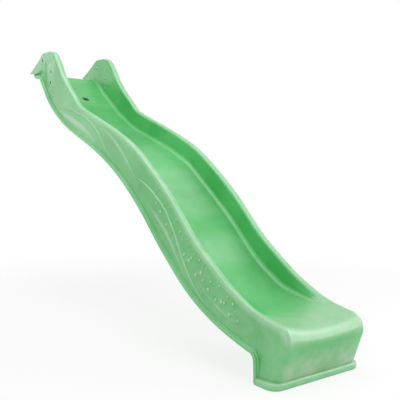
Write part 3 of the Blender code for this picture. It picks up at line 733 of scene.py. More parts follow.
# %% Sections round the nose and down the foot
EXIT_RIM_RISE = 0.135
EXIT_BED_RISE = 0.103
RIM_NOSE_RADIUS = 0.063
BED_NOSE_RADIUS = 0.045
FRONT_LEAN = 19.6           # degrees
BACK_STEPS = 6
NOSE_STEPS = 24
FRONT_STEPS = 8
SLIVER = 2 * MM             # a section's wall never gets lower than this


def nose_outline(top_height, radius):
    """Side view of the exit: over the nose and down the leaning front of the foot."""
    lean = radians(FRONT_LEAN)
    centre_z = top_height - radius
    centre_x = FOOT_FRONT + ((centre_z - FOOT_PLATE_HEIGHT) * sin(lean) - radius) / cos(lean)
    nose = [Vector(p) for p in arc((centre_x, centre_z), radius, 90, -FRONT_LEAN, NOSE_STEPS)]
    sole = Vector((FOOT_FRONT - (FOOT_PLATE_HEIGHT - FOOT_SOLE) * tan(lean), FOOT_SOLE))
    return nose + [nose[-1].lerp(sole, k / FRONT_STEPS) for k in range(1, FRONT_STEPS + 1)]


pivot = Vector((FOOT_BACK, FOOT_SOLE))
rims = nose_outline(FOOT_HEM_HEIGHT + EXIT_RIM_RISE, RIM_NOSE_RADIUS)
beds = nose_outline(FOOT_HEM_HEIGHT + EXIT_BED_RISE, BED_NOSE_RADIUS)
floor, top = [Vector((FOOT_BACK, line(FOOT_BACK))) for line in (bed, rim)]
sole_line = [(y, pivot) for y, p in underside(pivot, floor)]
back_shares = [k / BACK_STEPS for k in range(BACK_STEPS)]
back_rims = [top.lerp(rims[0], share) for share in back_shares]
back_beds = [floor.lerp(beds[0], share) for share in back_shares]
for top, floor in zip(back_rims + rims, back_beds + beds):
    if (top - floor).length < SLIVER:
        floor = top + (pivot - top).normalized() * SLIVER
    rings.append(whole_ring(half_section(pivot, floor, top, BED_DISH, 1.0), sole_line))
skin = wrap(rings)
print(len(rings), "sections in all, and a skin of", len(skin.faces), "faces")

# %% [markdown]
# ## Heel and screw places
# Behind the lip the two ears reach back as wings, with a round heel below them. Where a screw
# goes through an ear, the mould presses both skins inwards until they meet. It forms all of this
# in one go. Here each is a closed tool that is taken away from the body, because the same tool
# then also gives the edges their true lines. The posts' flat seats have no hard edge, so they
# were pressed into the sections themselves.

# %% Heel and wings
BEAD_HEIGHT = 0.016
BEAD_LIFT = 0.001
CURL_RADIUS = 0.0135
CURL_INSET = 0.0245
CURL_STEPS = 24
HEEL_MARGIN = 0.002
WING_CLEARANCE = 0.045
WING_RISE = 0.012
OVERSHOOT = 0.020
LIP_TOOL_WIDTH = 1.2 * OVERALL_WIDTH
curl_centre = Vector((LIP_BACK + CURL_INSET, PLATFORM_HEIGHT + BEAD_LIFT + BEAD_HEIGHT / 2 + CURL_RADIUS))
print("the bead curls round", [round(c, 4) for c in curl_centre])


def lip_tool():
    """Everything behind the round heel and below the wings."""
    radius = CURL_RADIUS + BEAD_HEIGHT / 2 + HEEL_MARGIN
    back = WING_TIP - OVERSHOOT
    bottom = curl_centre.y - radius - OVERSHOOT
    tip_z = PLATFORM_HEIGHT + WING_CLEARANCE + WING_RISE
    heel = arc(curl_centre, radius, 270, 90, CURL_STEPS)
    outline = [(back, bottom), (curl_centre.x, bottom), *heel, (WING_TIP, tip_z), (back, tip_z)]
    stand = Matrix.Translation((0, LIP_TOOL_WIDTH / 2, 0)) @ Matrix.Rotation(pi / 2, 4, "X")
    return placed(extruded(outline, LIP_TOOL_WIDTH), stand)

# %% Screw places
SCREW_PLACES = ((0.1025, 0.111), (0.243, 0.015), (0.243, -0.057))   # ahead of the lip's back, above it
SCREW_WEB = 0.010
SPOT_RADIUS = 0.0125
SPOT_DEPTH = 0.0025
DIMPLE_MOUTH = 0.0090
DIMPLE_FLOOR = 0.0070
DIMPLE_LIP = 2 * MM
HOLE_STEPS = 40
SCREW_RADIUS = 0.0030
FIT = 0.0003

# %% Tools for the screws
class ScrewPlace:
    """Where one ear screw goes: its axis runs outwards along Y from the spot face."""

    def __init__(self, ahead, above):
        self.x = LIP_BACK + ahead
        self.z = PLATFORM_HEIGHT + above
        self.seat = inner_wall_y(self.x, self.z) + SPOT_DEPTH
        self.outer = outer_wall_y(self.x, self.z)
        if SEAT_BACK < ahead < SEAT_FRONT:
            self.outer = min(self.outer, seat_y(self.z))

    def matrix(self, side, y):
        """Local Z points outwards from the chute, at distance y from the middle plane."""
        return Matrix.Translation((self.x, side * y, self.z)) @ Matrix.Rotation(-side * pi / 2, 4, "X")


def screw_tool(where):
    """Spot face, hole and outer dimple of one screw."""
    skin = where.outer - where.seat
    hole = SCREW_RADIUS + FIT
    return turned([(0, -OVERSHOOT), (SPOT_RADIUS, -OVERSHOOT), (SPOT_RADIUS, 0), (hole, 0),
                   (hole, SCREW_WEB), (DIMPLE_FLOOR, SCREW_WEB), (DIMPLE_MOUTH, skin - DIMPLE_LIP),
                   (DIMPLE_MOUTH + DIMPLE_LIP, skin), (DIMPLE_MOUTH + 2 * DIMPLE_LIP, skin + DIMPLE_LIP),
                   (0, skin + DIMPLE_LIP)], HOLE_STEPS)

# %% Hose inlet
INLET_PLACE = 0.300
INLET_RADIUS = 0.0132
INLET_STEPS = 64
ROSE_RADIUS = 0.022
ROSE_THICKNESS = 0.004
ROSE_SUNK = 0.0015
SEAL_THICKNESS = 0.002
SEAT_MARGIN = 0.0015
NUT_SEAT_DEPTH = 0.003
NUT_SEAT_RADIUS = 0.0235

inlet_x = LIP_BACK + INLET_PLACE
normal = Vector((-slope(bed, inlet_x), 0, 1)).normalized()
inlet_frame = Matrix.Translation((inlet_x, 0, bed(inlet_x) - BED_DISH))
inlet_frame = inlet_frame @ Matrix.Rotation(atan2(normal.x, normal.z), 4, "Y")
rose_seat = ROSE_SUNK + ROSE_THICKNESS + SEAL_THICKNESS + 2 * FIT
nut_seat = BED_DEPTH / hypot(1, slope(bed, inlet_x)) - NUT_SEAT_DEPTH
print("hose inlet at", [round(c, 4) for c in inlet_frame.translation])


def inlet_tool():
    """Seat of the rose above, hole through the bed, and seat of the nut below."""
    hole = INLET_RADIUS + FIT
    wide = ROSE_RADIUS + SEAT_MARGIN
    below = -nut_seat - OVERSHOOT
    return turned([(0, below), (NUT_SEAT_RADIUS, below), (NUT_SEAT_RADIUS, -nut_seat), (hole, -nut_seat),
                   (hole, -rose_seat), (wide, -rose_seat), (wide, OVERSHOOT), (0, OVERSHOOT)], INLET_STEPS)

# %% Cut the body
tools = bmesh.new()
join(tools, lip_tool())
join(tools, inlet_tool(), inlet_frame)
skin = cut(skin, tools)
tools = bmesh.new()
for ahead, above in SCREW_PLACES:
    where = ScrewPlace(ahead, above)
    print("screws at", round(where.x, 4), round(where.z, 4), "from y", round(where.seat, 4))
    for side in (1, -1):
        join(tools, screw_tool(where), where.matrix(side, where.seat))
body = add_piece("moulded_body", cut(skin, tools), polyethylene, "slide_body")

# %% [markdown]
# ## Maps of wear and painted light
# Polyethylene goes pale where it is rubbed, because small scratches scatter the light. Trousers
# rub the middle of the bed. The rims and the nose get a painted highlight in that pale shade, and
# the steep part of the bed two pale stretches, partly heel wear and partly painted reflection. It
# turns chalky where the posts chafe, and where dust and splashes dry on the foot and the low end of
# the walls; on the foot's lower front this is partly dust and partly painted reflection. The chalky
# shade also paints a sheen on the nose and over the outer walls. No plain pattern knows where the
# rims run, so each point of the skin stores its two amounts, and the material reads that.

# %% Where it is rubbed, and where highlight is painted
RIM_HIGHLIGHT_BAND = 38 * MM          # band of painted highlight outside the crest of a rim
RIM_HIGHLIGHT_INSIDE = 12 * MM
# painted highlight on the rims
RIM_HIGHLIGHT = 0.85
BED_BAND = 150 * MM         # half width of the polished middle of the bed
BED_SIDES = 4               # the polish ends suddenly at its sides, by this power
BED_POLISH = 0.06
STEEP_WEAR_AND_REFLECTION = 0.36          # pale stretches on the steep part: partly heel wear, partly painted reflection
PALE_STRETCHES = ((-1.08, -0.70), (-0.67, -0.46))
PALE_STRETCH_FADE = 75 * MM         # a stretch starts and ends softly over this length
# painted highlight along the nose
NOSE_HIGHLIGHT = 0.62
NOSE_REACH = 125 * MM       # the nose's painted highlight and sheen start this far up the chute
NOSE_LOW = 0.150            # and runs out between these heights
NOSE_HIGH = 0.205
UNDER_BED = 1.5 * BED_DISH    # the skin is the hollow's and not the bed's below this
SAME_TURN = 0.001           # crest points nearer than this, in radians, count as one

crest_line = sorted((atan2(p.y - pivot.y, p.x - pivot.x), (p - pivot).length)
                    for p in back_rims[1:] + rims)
crest_reach = smooth([crest_line[0]] + [b for a, b in zip(crest_line, crest_line[1:])
                                        if b[0] - a[0] > SAME_TURN])

# %% How rubbed it is, and how much highlight is painted
def below_crest(x, z):
    """How far a point of the side wall lies from the rim, which turns down with the nose."""
    if x < FOOT_BACK:
        return rim(x) - z
    spoke = Vector((x, z)) - pivot
    return crest_reach(atan2(spoke.y, spoke.x)) - spoke.length


def down_front(z):
    """1 at the nose's height, 0 low on the front of the foot."""
    return ease((z - NOSE_LOW) / (NOSE_HIGH - NOSE_LOW))


def near_foot(x, reach):
    """1 at the foot, 0 at a reach up the chute from it."""
    return ease((x - FOOT_BACK) / reach + 1)


def rubbed_and_highlight_at(x, y, z):
    """How rubbed the skin is, from 0 to 1, with painted highlight on the rims and the nose and painted
    reflection on the steep bed.
    """
    side = abs(y) - RIM_SPACING / 2
    # painted highlight on the nose, and on the rims, fading down the foot's front
    nose = NOSE_HIGHLIGHT * near_foot(x, NOSE_REACH) * down_front(z)
    on_rim = RIM_HIGHLIGHT * (down_front(z) if x > FOOT_BACK else 1.0)
    if side > 0:
        return on_rim * (1 - ease(below_crest(x, z) / RIM_HIGHLIGHT_BAND))
    if x > FOOT_BACK:
        return max(nose, on_rim * (1 - ease(-side / RIM_HIGHLIGHT_BAND)))
    on_rim *= 1 - ease((rim(x) - z) / RIM_HIGHLIGHT_INSIDE)
    if z < bed_line(x) - UNDER_BED or abs(y) > BED_BAND:
        return max(nose, on_rim)
    # pale stretches on the steep bed: partly heel wear, partly painted reflection of the lamps
    stretches = max(ease((x - start) / PALE_STRETCH_FADE) * ease((end - x) / PALE_STRETCH_FADE) for start, end in PALE_STRETCHES)
    return max(nose, on_rim, lerp(BED_POLISH, STEEP_WEAR_AND_REFLECTION, stretches) * (1 - (y / BED_BAND)**BED_SIDES))

# %% Where it is chalky, and where sheen is painted
# painted sheen on the nose, in the chalky shade
NOSE_SHEEN = 0.38
DUST_HEIGHT = 0.150
DUST_REACH = 90 * MM        # up the chute from the foot
# the foot's lower front: partly dust, partly painted reflection of the bright floor
FRONT_DUST_AND_REFLECTION = 0.85
SIDE_DUST = 0.40
# painted sheen of the white studio over the outer walls
WALL_SHEEN = 0.16
WALL_SPLASH = 0.26          # the low end of the walls is splashed from the ground
SPLASH_LOW = 0.25           # and this fades between these heights
SPLASH_HIGH = 0.80
CHAFING = 0.62
CHAFING_LOW = 0.15          # share of the chafing that is left at a seat's lower end


def chalky_and_sheen_at(x, y, z):
    """How chalky it is, from 0 to 1, with painted sheen on the nose and the outer walls and painted
    reflection on the foot's lower front.
    """
    low = 1 - ease((z - FOOT_PLATE_HEIGHT) / DUST_HEIGHT)
    front = ease((x - FOOT_BACK) / DUST_REACH)
    beside = ease((abs(y) - RIM_SPACING / 2) / RIM_RADIUS)
    # dust low on the foot, with painted reflection on its front
    dust_and_reflection = low * lerp(FRONT_DUST_AND_REFLECTION * front, SIDE_DUST * near_foot(x, DUST_REACH), beside)
    up_seat = ease((z - PLATFORM_HEIGHT - SEAT_BOTTOM) / (SEAT_TOP - SEAT_BOTTOM))
    chafed = CHAFING * lerp(CHAFING_LOW, 1, up_seat) * (seat_share(x, z) if beside > 0 else 0.0)
    # painted sheen on the nose
    wear_and_highlight = NOSE_SHEEN * near_foot(x, NOSE_REACH) * down_front(z) * (1 - beside)
    # splashes low on the walls, turning into a painted sheen higher up
    splash_and_sheen = lerp(WALL_SPLASH, WALL_SHEEN, ease((z - SPLASH_LOW) / (SPLASH_HIGH - SPLASH_LOW)))
    return max(dust_and_reflection, chafed, wear_and_highlight, splash_and_sheen * beside)

# %% Store the wear and painted light
def store_map(piece, name, wear_and_painted_light):
    """Store a map of wear and painted light on a piece, from a function of x, y and z."""
    values = piece.data.attributes.new(name, "FLOAT", "POINT")
    amounts = [wear_and_painted_light(*v.co) for v in piece.data.vertices]
    values.data.foreach_set("value", amounts)
    print(piece.name, name, round(sum(amounts) / len(amounts), 3), "on average")


store_map(body, RUBBED_AND_HIGHLIGHT, rubbed_and_highlight_at)
store_map(body, CHALKY_AND_SHEEN, chalky_and_sheen_at)

# %% [markdown]
# ## Parting bead and foot flange
# A blow mould closes on the walls' lower edges, and there it pinches the skin into a solid bead.
# At the ears the bead curls once round the heel, and at the bottom it runs into the flange that
# the foot stands on. The bead is a rounded bar wrapped along the edge's own line. The flange is
# a block whose upright corners and then whose rims are bevelled.

# %% Path of the bead
CURL_LENGTH = 0.076
CURL_LEAD_STEPS = 12
BEND_STEPS = 12


def bead_path():
    """Middle line of the bead in the XZ plane, from the end of its curl to the foot."""
    half = BEAD_HEIGHT / 2
    path = [curl_centre + Vector((lerp(CURL_LENGTH, 0, k / CURL_LEAD_STEPS), CURL_RADIUS))
            for k in range(CURL_LEAD_STEPS)]
    path += [Vector(p) for p in arc(curl_centre, CURL_RADIUS, 90, 270, CURL_STEPS)]
    for x in station_places():
        if curl_centre.x + BEAD_HEIGHT < x <= FILLET_START:
            across = Vector((-slope(hem_line, x), 1.0)).normalized()
            path.append(Vector((x, hem_line(x))) + across * (half + BEAD_LIFT))
    centre = (FILLET_START, hem_line(FILLET_START) - FOOT_FILLET)
    path += [Vector(p) for p in arc(centre, FOOT_FILLET + half + BEAD_LIFT, 90, 0, BEND_STEPS)[1:]]
    foot = Vector((FOOT_BACK + half, FOOT_PLATE_HEIGHT / 2))
    return path + [path[-1].lerp(foot, 0.5), foot]


def along_path(path, outlines):
    """Stand one outline of (y, n) pairs square to each point of a path in the XZ plane."""
    rings = []
    for i, (point, outline) in enumerate(zip(path, outlines)):
        ahead = path[min(i + 1, len(path) - 1)] - path[max(i - 1, 0)]
        across = Vector((-ahead.y, ahead.x)).normalized()
        rings.append([Vector((point.x + across.x * n, y, point.y + across.y * n)) for y, n in outline])
    return rings

# %% Beads
BEAD_ROUND = 5 * MM
BEAD_ROOT = 0.8 * HEM_LAND
BEAD_START = 0.25           # the curl's end starts at this share of the whole bead
BEAD_TAPER = 12 * MM        # and grows to it along this length
BEAD_COVE = 4 * MM          # hollow fillet between the bead and the wall
COVE_SUNK = 0.2             # share of the cove that lies inside the wall
# painted highlight over the whole bead
BEAD_HIGHLIGHT = 0.35
BAR_STEPS = 5


def bead_outline(length):
    """Section of the bead as (y, n) pairs: round outside, with a cove up to the wall."""
    share = min(BEAD_START + length / BEAD_TAPER, 1.0)
    reach = lerp(HEM_WIDTH / 2, OVERALL_WIDTH / 2, sqrt(1 - (1 - share)**2))
    cove = share * BEAD_COVE
    root = HEM_WIDTH / 2 - BEAD_ROOT
    half = BEAD_HEIGHT / 2
    outline = [(root, -half)]
    outline += arc((reach - BEAD_ROUND, BEAD_ROUND - half), BEAD_ROUND, -90, 0, BAR_STEPS)
    outline += arc((reach - BEAD_ROUND, half - BEAD_ROUND), BEAD_ROUND, 0, 90, BAR_STEPS)
    outline += arc((HEM_WIDTH / 2 + (1 - COVE_SUNK) * cove, half + cove), cove, 270, 180, BAR_STEPS)
    return outline + [(root, half + cove)]


def mirrored(bm):
    """Reflect a solid to the other side of the middle plane."""
    placed(bm, Matrix.Diagonal((1, -1, 1, 1)))
    bmesh.ops.reverse_faces(bm, faces=bm.faces)
    return bm


path = bead_path()
lengths = [0.0]
for a, b in zip(path, path[1:]):
    lengths.append(lengths[-1] + (b - a).length)
for word in ("left", "right"):
    bead = wrap(along_path(path, [bead_outline(length) for length in lengths]))
    if word == "right":
        mirrored(bead)
    bead_piece = add_piece(f"parting_bead_{word}", bead, polyethylene)
    store_map(bead_piece, RUBBED_AND_HIGHLIGHT, lambda x, y, z: BEAD_HIGHLIGHT)
print("each bead is", round(lengths[-1], 3), "m long")

# %% Foot flange
FOOT_FRONT_CORNER = 0.050
FOOT_BACK_CORNER = 0.020
FOOT_PLATE_EDGE = 0.009
CORNER_SEGMENTS = 14
RIM_SEGMENTS = 6
FLANGE_HIGHLIGHT = (0.5, 0.95)     # painted highlight, at the ground and at its upper rim


def bevelled(bm, edges, radius, segments):
    """Round some edges of a solid."""
    bmesh.ops.bevel(bm, geom=edges, offset=radius, segments=segments, profile=0.5, affect="EDGES",
                    material=-1)


def climb(edge):
    """Difference in height between an edge's ends."""
    return abs(edge.verts[0].co.z - edge.verts[1].co.z)


flange = bmesh.new()
bmesh.ops.create_cube(flange, size=1)
bmesh.ops.scale(flange, vec=(FOOT_LENGTH, OVERALL_WIDTH, FOOT_PLATE_HEIGHT), verts=flange.verts)
bmesh.ops.translate(flange, vec=(0, 0, FOOT_PLATE_HEIGHT / 2), verts=flange.verts)
for radius, side in ((FOOT_FRONT_CORNER, 1), (FOOT_BACK_CORNER, -1)):
    upright = [e for e in flange.edges if climb(e) > MM
               and abs(e.verts[0].co.x - side * FOOT_LENGTH / 2) < MM]
    bevelled(flange, upright, radius, CORNER_SEGMENTS)
bevelled(flange, [e for e in flange.edges if climb(e) < MM], FOOT_PLATE_EDGE, RIM_SEGMENTS)
bmesh.ops.recalc_face_normals(flange, faces=flange.faces)
flange_piece = add_piece("foot_flange", flange, polyethylene)
store_map(flange_piece, RUBBED_AND_HIGHLIGHT, lambda x, y, z: lerp(*FLANGE_HIGHLIGHT, ease(z / FOOT_PLATE_HEIGHT)))

# %% [markdown]
# ## Raised waves and bubbles
# The outer walls carry a plain moulded ornament of water: long swooshes that run with the wave,
# and small bubbles beside them. They could be a bump in the material, but a bump gives no edge
# against the light. Each swoosh here is a low ridge wrapped along a line on the wall, thin at
# both ends, and each bubble is a sphere pressed flat. The broad ones only swell the wall a
# little, which breaks its reflection as the real skin does.

# %% Swooshes
SWOOSH_STEP = 9 * MM
SWOOSH_SUNK = 0.4 * MM
SWOOSH_END = 0.04           # share of its full size at either end
SWOOSH_SWELL = 0.7          # a low power makes it swell soon after its ends
SECTION_STEPS = 12
# Each line is (x, share of the wall's height from hem to rim), then the width and the height.
SWOOSHES = (
    (((-1.97, 0.18), (-1.83, 0.46), (-1.72, 0.70), (-1.60, 0.79), (-1.50, 0.74), (-1.40, 0.58),
      (-1.30, 0.27), (-1.15, 0.14)), 15 * MM, 5.5 * MM),
    (((-1.99, 0.10), (-1.85, 0.24), (-1.72, 0.36), (-1.60, 0.40), (-1.50, 0.34), (-1.40, 0.20)),
     64 * MM, 4.5 * MM),
    (((-1.42, 0.86), (-1.28, 0.80), (-1.14, 0.66), (-1.02, 0.48), (-0.92, 0.30)), 46 * MM, 3.0 * MM),
    (((-1.02, 0.36), (-0.92, 0.56), (-0.80, 0.68), (-0.72, 0.71), (-0.64, 0.62), (-0.54, 0.37),
      (-0.45, 0.21), (-0.34, 0.15)), 15 * MM, 6.5 * MM),
    (((-0.90, 0.24), (-0.80, 0.36), (-0.70, 0.38), (-0.60, 0.28), (-0.50, 0.14)), 40 * MM, 3.0 * MM),
    (((-0.46, 0.44), (-0.34, 0.36), (-0.22, 0.36), (-0.14, 0.46)), 12 * MM, 3.4 * MM),
)

# %% Ridges on the wall
def on_wall(x, share):
    """Point of the left outer wall at a share of its height, from hem to rim."""
    return Vector((x, RIM_WIDTH / 2 + OUTER_FLARE * (1 - share), lerp(hem(x), rim(x), share)))


def out_of_wall(x, share):
    """Direction square to the wall there."""
    along = on_wall(x + MM, share) - on_wall(x - MM, share)
    upward = on_wall(x, share + 0.01) - on_wall(x, share - 0.01)
    return upward.cross(along).normalized()


def swoosh(knots, width, height):
    """A ridge on the left wall, thin at both ends and highest in its middle line."""
    line = smooth(knots)
    first, last = knots[0][0], knots[-1][0]
    count = round((last - first) / SWOOSH_STEP)
    places = [lerp(first, last, k / count) for k in range(count + 1)]
    middle = [on_wall(x, line(x)) for x in places]
    rings = []
    for k, x in enumerate(places):
        ahead = (middle[min(k + 1, count)] - middle[max(k - 1, 0)]).normalized()
        out = out_of_wall(x, line(x))
        across = ahead.cross(out)
        full = lerp(SWOOSH_END, 1, max(sin(pi * k / count), 0.0)**SWOOSH_SWELL)
        ring = []
        for j in range(SECTION_STEPS + 1):
            s = 2 * j / SECTION_STEPS - 1
            rise = height * full * cos(pi / 2 * s)**2 - SWOOSH_SUNK
            ring.append(middle[k] + across * (s * width / 2 * full) + out * rise)
        rings.append(ring + [middle[k] - out * height])
    return wrap(rings)

# %% Bubbles
BUBBLE_COUNT = 36
BUBBLE_START = -0.80
BUBBLE_END = -0.15
BUBBLE_MIDDLE = 0.62        # share of the wall's height
BUBBLE_SPREAD = 0.19
BUBBLE_CLIMB = 0.10         # the first bubbles lie higher by this share
BUBBLE_FLATNESS = 0.55
BUBBLE_SIZES = (5.0 * MM, 10.0 * MM)
BUBBLE_SEGMENTS = (14, 7)
GOLDEN = 0.618              # steps of this share of a turn never fall into rows


def bubble(x, share, radius):
    """A flat bubble on the left wall."""
    turn = out_of_wall(x, share).to_track_quat("Z", "Y").to_matrix().to_4x4()
    squash = Matrix.Diagonal((radius, radius, BUBBLE_FLATNESS * radius, 1))
    bm = bmesh.new()
    bmesh.ops.create_uvsphere(bm, u_segments=BUBBLE_SEGMENTS[0], v_segments=BUBBLE_SEGMENTS[1], radius=1,
                              matrix=Matrix.Translation(on_wall(x, share)) @ turn @ squash)
    return bm


def ornament():
    """All swooshes and bubbles of the left wall."""
    bm = bmesh.new()
    for line in SWOOSHES:
        join(bm, swoosh(*line))
    for k in range(BUBBLE_COUNT):
        share = k / BUBBLE_COUNT
        height = BUBBLE_MIDDLE + BUBBLE_SPREAD * sin(2 * pi * GOLDEN * k) + BUBBLE_CLIMB * (1 - share)
        radius = lerp(*BUBBLE_SIZES, (k * GOLDEN) % 1)
        join(bm, bubble(lerp(BUBBLE_START, BUBBLE_END, share), height, radius))
    return bm

# %% Raised waves
# painted highlight on the ridges' crests
WAVE_HIGHLIGHT = 0.95
CREST_HIGHLIGHT_HEIGHT = 3.5 * MM
WAVE_SHARP = 60


def crest_highlight(x, y, z):
    """Ridges get a painted highlight on their crests."""
    share = (z - hem(x)) / (rim(x) - hem(x))
    proud = abs(y) - on_wall(x, share).y
    return WAVE_HIGHLIGHT * ease(proud / CREST_HIGHLIGHT_HEIGHT)


for word in ("left", "right"):
    ridges = ornament()
    if word == "right":
        mirrored(ridges)
    bmesh.ops.recalc_face_normals(ridges, faces=ridges.faces)
    ridge_piece = add_piece(f"raised_waves_{word}", ridges, polyethylene, sharp=WAVE_SHARP)
    store_map(ridge_piece, RUBBED_AND_HIGHLIGHT, crest_highlight)
    store_map(ridge_piece, CHALKY_AND_SHEEN, chalky_and_sheen_at)

# %% [markdown]
# ## Screws and washers
# Three pan-head screws of zinc-plated steel hold each ear to the tower's post, each on a plain
# washer. The head is a turned outline, and its socket is cut with a six-sided bar. The thread is
# one small ridge that is spun round the shank and rises a little with each step, which is how a
# lathe cuts it. It is put on after the socket is cut, because it crosses the shank, and such a
# solid can't be cut cleanly. Zinc plating is a soft grey metal with a fine cloudy spangle. The
# real spangle is well under a millimetre, too fine to show, so it is drawn at three millimetres.

# %% Zinc-plated steel
ZINC = "#A9AFB3"
ZINC_BRIGHT = "#CBD0D2"
SPANGLE = 3 * MM
ZINC_ROUGHNESS = (0.24, 0.42)


def mottled(name, constants, dark, pale, size, detail, gloss, bump=None):
    """A finish that varies between two colours and two roughnesses, in patches of a size."""
    made, tree, shader = new_material(name, constants)
    place = add_node(tree, "TexCoord")
    cloud = add_node(tree, "TexNoise", {
        "Vector": place.outputs["Object"], "Scale": 1 / size, "Detail": detail})
    tint = add_node(tree, "Mix", {0: cloud, 6: colour(dark), 7: colour(pale)}, data_type="RGBA")
    rough = add_node(tree, "MapRange", [cloud, 0, 1, *gloss])
    set_inputs(tree, shader, {"Base Color": tint.outputs[2], "Roughness": rough})
    if bump:
        set_inputs(tree, shader, {"Normal": add_node(tree, "Bump", {"Height": cloud, **bump})})
    return made


steel = mottled("steel, zinc-plated and passivated", {"Metallic": 1.0}, ZINC, ZINC_BRIGHT, SPANGLE, 3,
                ZINC_ROUGHNESS)

# %% Thread, hexagon and washer
THREAD_STEPS = 24           # steps of the helix in one turn
THREAD_SUNK = 0.1           # share of the pitch by which the thread starts inside the shank
HEXAGON_SEGMENTS = 3
THREAD_FORM = ((0, 0.0), (1, 0.44), (1, 0.52), (0, 0.96))       # root or crest, share of the pitch


def thread(core, crest, pitch, low, high):
    """A helical ridge about Z between two heights, with its crest at a radius."""
    turns = int((high - low) / pitch) - 1
    root = core - THREAD_SUNK * pitch
    bm = bmesh.new()
    verts = [bm.verts.new((lerp(root, crest, out), 0, low + up * pitch)) for out, up in THREAD_FORM]
    edges = [bm.edges.new((verts[k - 1], verts[k])) for k in range(len(verts))]
    bmesh.ops.spin(bm, geom=verts + edges, cent=(0, 0, 0), axis=(0, 0, 1), dvec=(0, 0, pitch / THREAD_STEPS),
                   angle=2 * pi * turns, steps=THREAD_STEPS * turns, use_merge=False)
    bmesh.ops.remove_doubles(bm, verts=bm.verts, dist=0.001 * MM)
    bmesh.ops.holes_fill(bm, edges=bm.edges, sides=4)
    bmesh.ops.recalc_face_normals(bm, faces=bm.faces)
    return bm


def hexagon(across_flats, height, edge=0.0):
    """A six-sided bar on the XY plane, its level edges rounded."""
    radius = across_flats / 2 / cos(pi / 6)
    bm = bmesh.new()
    bmesh.ops.create_cone(bm, cap_ends=True, segments=6, radius1=radius, radius2=radius, depth=height,
                          matrix=Matrix.Translation((0, 0, height / 2)))
    if edge:
        bevelled(bm, [e for e in bm.edges if climb(e) < MM], edge, HEXAGON_SEGMENTS)
    return bm


def flat_ring(inner, outer, low, high, edge, steps=48):
    """A flat ring between two radii and two heights, its outer edges broken."""
    return turned([(inner, low), (outer - edge, low), (outer, low + edge), (outer, high - edge),
                   (outer - edge, high), (inner, high)], steps)

# %% Ear screws and their washers
HEAD_RADIUS = 0.0065
HEAD_HEIGHT = 0.0042
WASHER_RADIUS = 0.0090
WASHER_THICKNESS = 0.0016
SCREW_SHORT = 0.004         # the tip stops this far inside the outer wall
SOCKET_ACROSS_FLATS = 0.004
SOCKET_DEPTH = 0.0022
WASHER_EDGE = 0.3 * MM
SCREW_PITCH = 1.0 * MM
THREAD_DEPTH = 0.5 * MM
THREAD_LENGTH = 14 * MM
DOME_POWER = 2 / 3          # squarer than a ball, as a pan head is
DOME_END = 81               # degrees, where its round meets the head's short straight side
DOME_STEPS = 9
TIP_FLAT = 0.2              # share of the core that the tip's chamfer leaves flat

# %% Make the screws
def pan_head_screw(length):
    """A screw on Z: its head below zero, its shank up to a length, threaded at its end."""
    core = SCREW_RADIUS - THREAD_DEPTH
    smooth_end = length - THREAD_LENGTH
    dome = [(HEAD_RADIUS * out**DOME_POWER, -HEAD_HEIGHT * up**DOME_POWER)
            for up, out in arc((0, 0), 1, 0, DOME_END, DOME_STEPS)]
    shank = [(HEAD_RADIUS, 0), (SCREW_RADIUS, 0), (SCREW_RADIUS, smooth_end), (core, smooth_end),
             (core, length - core), (TIP_FLAT * core, length), (0, length)]
    down = Matrix.Translation((0, 0, SOCKET_DEPTH - 2 * HEAD_HEIGHT))
    bolt = cut(turned(dome + shank), placed(hexagon(SOCKET_ACROSS_FLATS, HEAD_HEIGHT), down))
    join(bolt, thread(core, SCREW_RADIUS, SCREW_PITCH, smooth_end, length - core))
    return bolt


for number, (ahead, above) in enumerate(SCREW_PLACES, 1):
    where = ScrewPlace(ahead, above)
    washer_y = where.seat - FIT - WASHER_THICKNESS
    head_y = washer_y - FIT
    for side, word in ((1, "left"), (-1, "right")):
        ring = flat_ring(SCREW_RADIUS + FIT, WASHER_RADIUS, 0, WASHER_THICKNESS, WASHER_EDGE)
        add_piece(f"plain_washer_{word}_{number}", placed(ring, where.matrix(side, washer_y)),
                  steel, f"ear_washer_{word}_{number}")
        bolt = pan_head_screw(where.outer - SCREW_SHORT - head_y)
        add_piece(f"pan_head_screw_{word}_{number}", placed(bolt, where.matrix(side, head_y)),
                  steel, f"ear_screw_{word}_{number}")

# %% [markdown]
# ## Hose inlet
# A garden hose screws on under the bed, and its water comes up through a round collar. The
# spigot and its nut are moulded polypropylene, a dull dark grey with a fine leathery grain, and
# a black rubber ring, which blooms in soft grey patches, seals the collar in its seat. Round
# moulded parts could be cylinders put together, but a turned outline gives every edge its round.
# The nut is a six-sided bar with rounded edges and a bored hole. The real grain is about 0.2 mm,
# so it is drawn five times as coarse.

# %% Polypropylene and rubber
POLYPROPYLENE = "#3C4043"
POLYPROPYLENE_WORN = "#4A4E51"
POLYPROPYLENE_GRAIN = 1.0 * MM
POLYPROPYLENE_ROUGHNESS = (0.40, 0.55)
RUBBER = "#1D1D1F"
RUBBER_DUSTY = "#333331"
RUBBER_BLOOM = 6 * MM
RUBBER_ROUGHNESS = (0.70, 0.90)
DULL_BUMP = {"Strength": 0.4, "Distance": 0.1 * MM}

polypropylene = mottled("moulded polypropylene, dark grey", {"IOR": 1.49}, POLYPROPYLENE,
                        POLYPROPYLENE_WORN, POLYPROPYLENE_GRAIN, 2, POLYPROPYLENE_ROUGHNESS, DULL_BUMP)
rubber = mottled("moulded nitrile rubber, matt black", {"IOR": 1.52}, RUBBER, RUBBER_DUSTY,
                 RUBBER_BLOOM, 2, RUBBER_ROUGHNESS, DULL_BUMP)

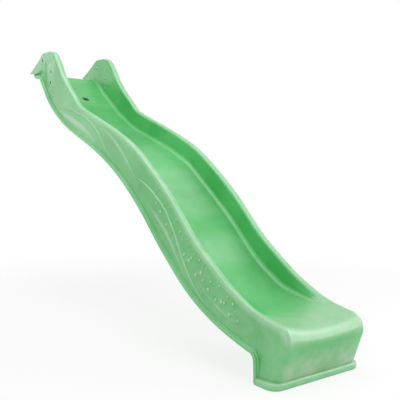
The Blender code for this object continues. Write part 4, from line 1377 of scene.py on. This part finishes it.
# %% Spigot, seal and nut
INLET_BORE = 0.0090
INLET_TAIL = 0.026
NUT_ACROSS_FLATS = 0.036
NUT_HEIGHT = 0.008
ROSE_EDGE = 1.2 * MM
ROSE_STEPS = 6
SPIGOT_PITCH = 1.8 * MM
SPIGOT_THREAD = 1.2 * MM
NUT_EDGE = 1.0 * MM
SEAL_EDGE = 0.5 * MM

rose_low = -ROSE_SUNK - ROSE_THICKNESS
rose_high = -ROSE_SUNK - ROSE_EDGE
spigot_end = -nut_seat - FIT - NUT_HEIGHT - INLET_TAIL
spigot_core = INLET_RADIUS - SPIGOT_THREAD
pipe = [(INLET_BORE, spigot_end), (spigot_core, spigot_end), (spigot_core, -nut_seat),
        (INLET_RADIUS, -nut_seat), (INLET_RADIUS, rose_low)]
rose = [(ROSE_RADIUS, rose_low)]
rose += arc((ROSE_RADIUS - ROSE_EDGE, rose_high), ROSE_EDGE, 0, 90, ROSE_STEPS)
rose += arc((INLET_BORE + ROSE_EDGE, rose_high), ROSE_EDGE, 90, 180, ROSE_STEPS)
fitting = turned(pipe + rose, INLET_STEPS)
join(fitting, thread(spigot_core, INLET_RADIUS, SPIGOT_PITCH, spigot_end + ROSE_EDGE, -nut_seat))
add_piece("threaded_spigot", placed(fitting, inlet_frame), polypropylene, "hose_spigot")

hole = INLET_RADIUS + FIT
seal_low = -rose_seat + FIT
seal = flat_ring(hole, ROSE_RADIUS, seal_low, seal_low + SEAL_THICKNESS, SEAL_EDGE, INLET_STEPS)
add_piece("sealing_ring", placed(seal, inlet_frame), rubber, "hose_seal")

nut_frame = inlet_frame @ Matrix.Translation((0, 0, -nut_seat - FIT - NUT_HEIGHT))
bore = turned([(0, -OVERSHOOT), (hole, -OVERSHOOT), (hole, OVERSHOOT), (0, OVERSHOOT)], INLET_STEPS)
nut = cut(hexagon(NUT_ACROSS_FLATS, NUT_HEIGHT, NUT_EDGE), bore)
add_piece("hexagon_nut", placed(nut, nut_frame), polypropylene, "hose_nut")
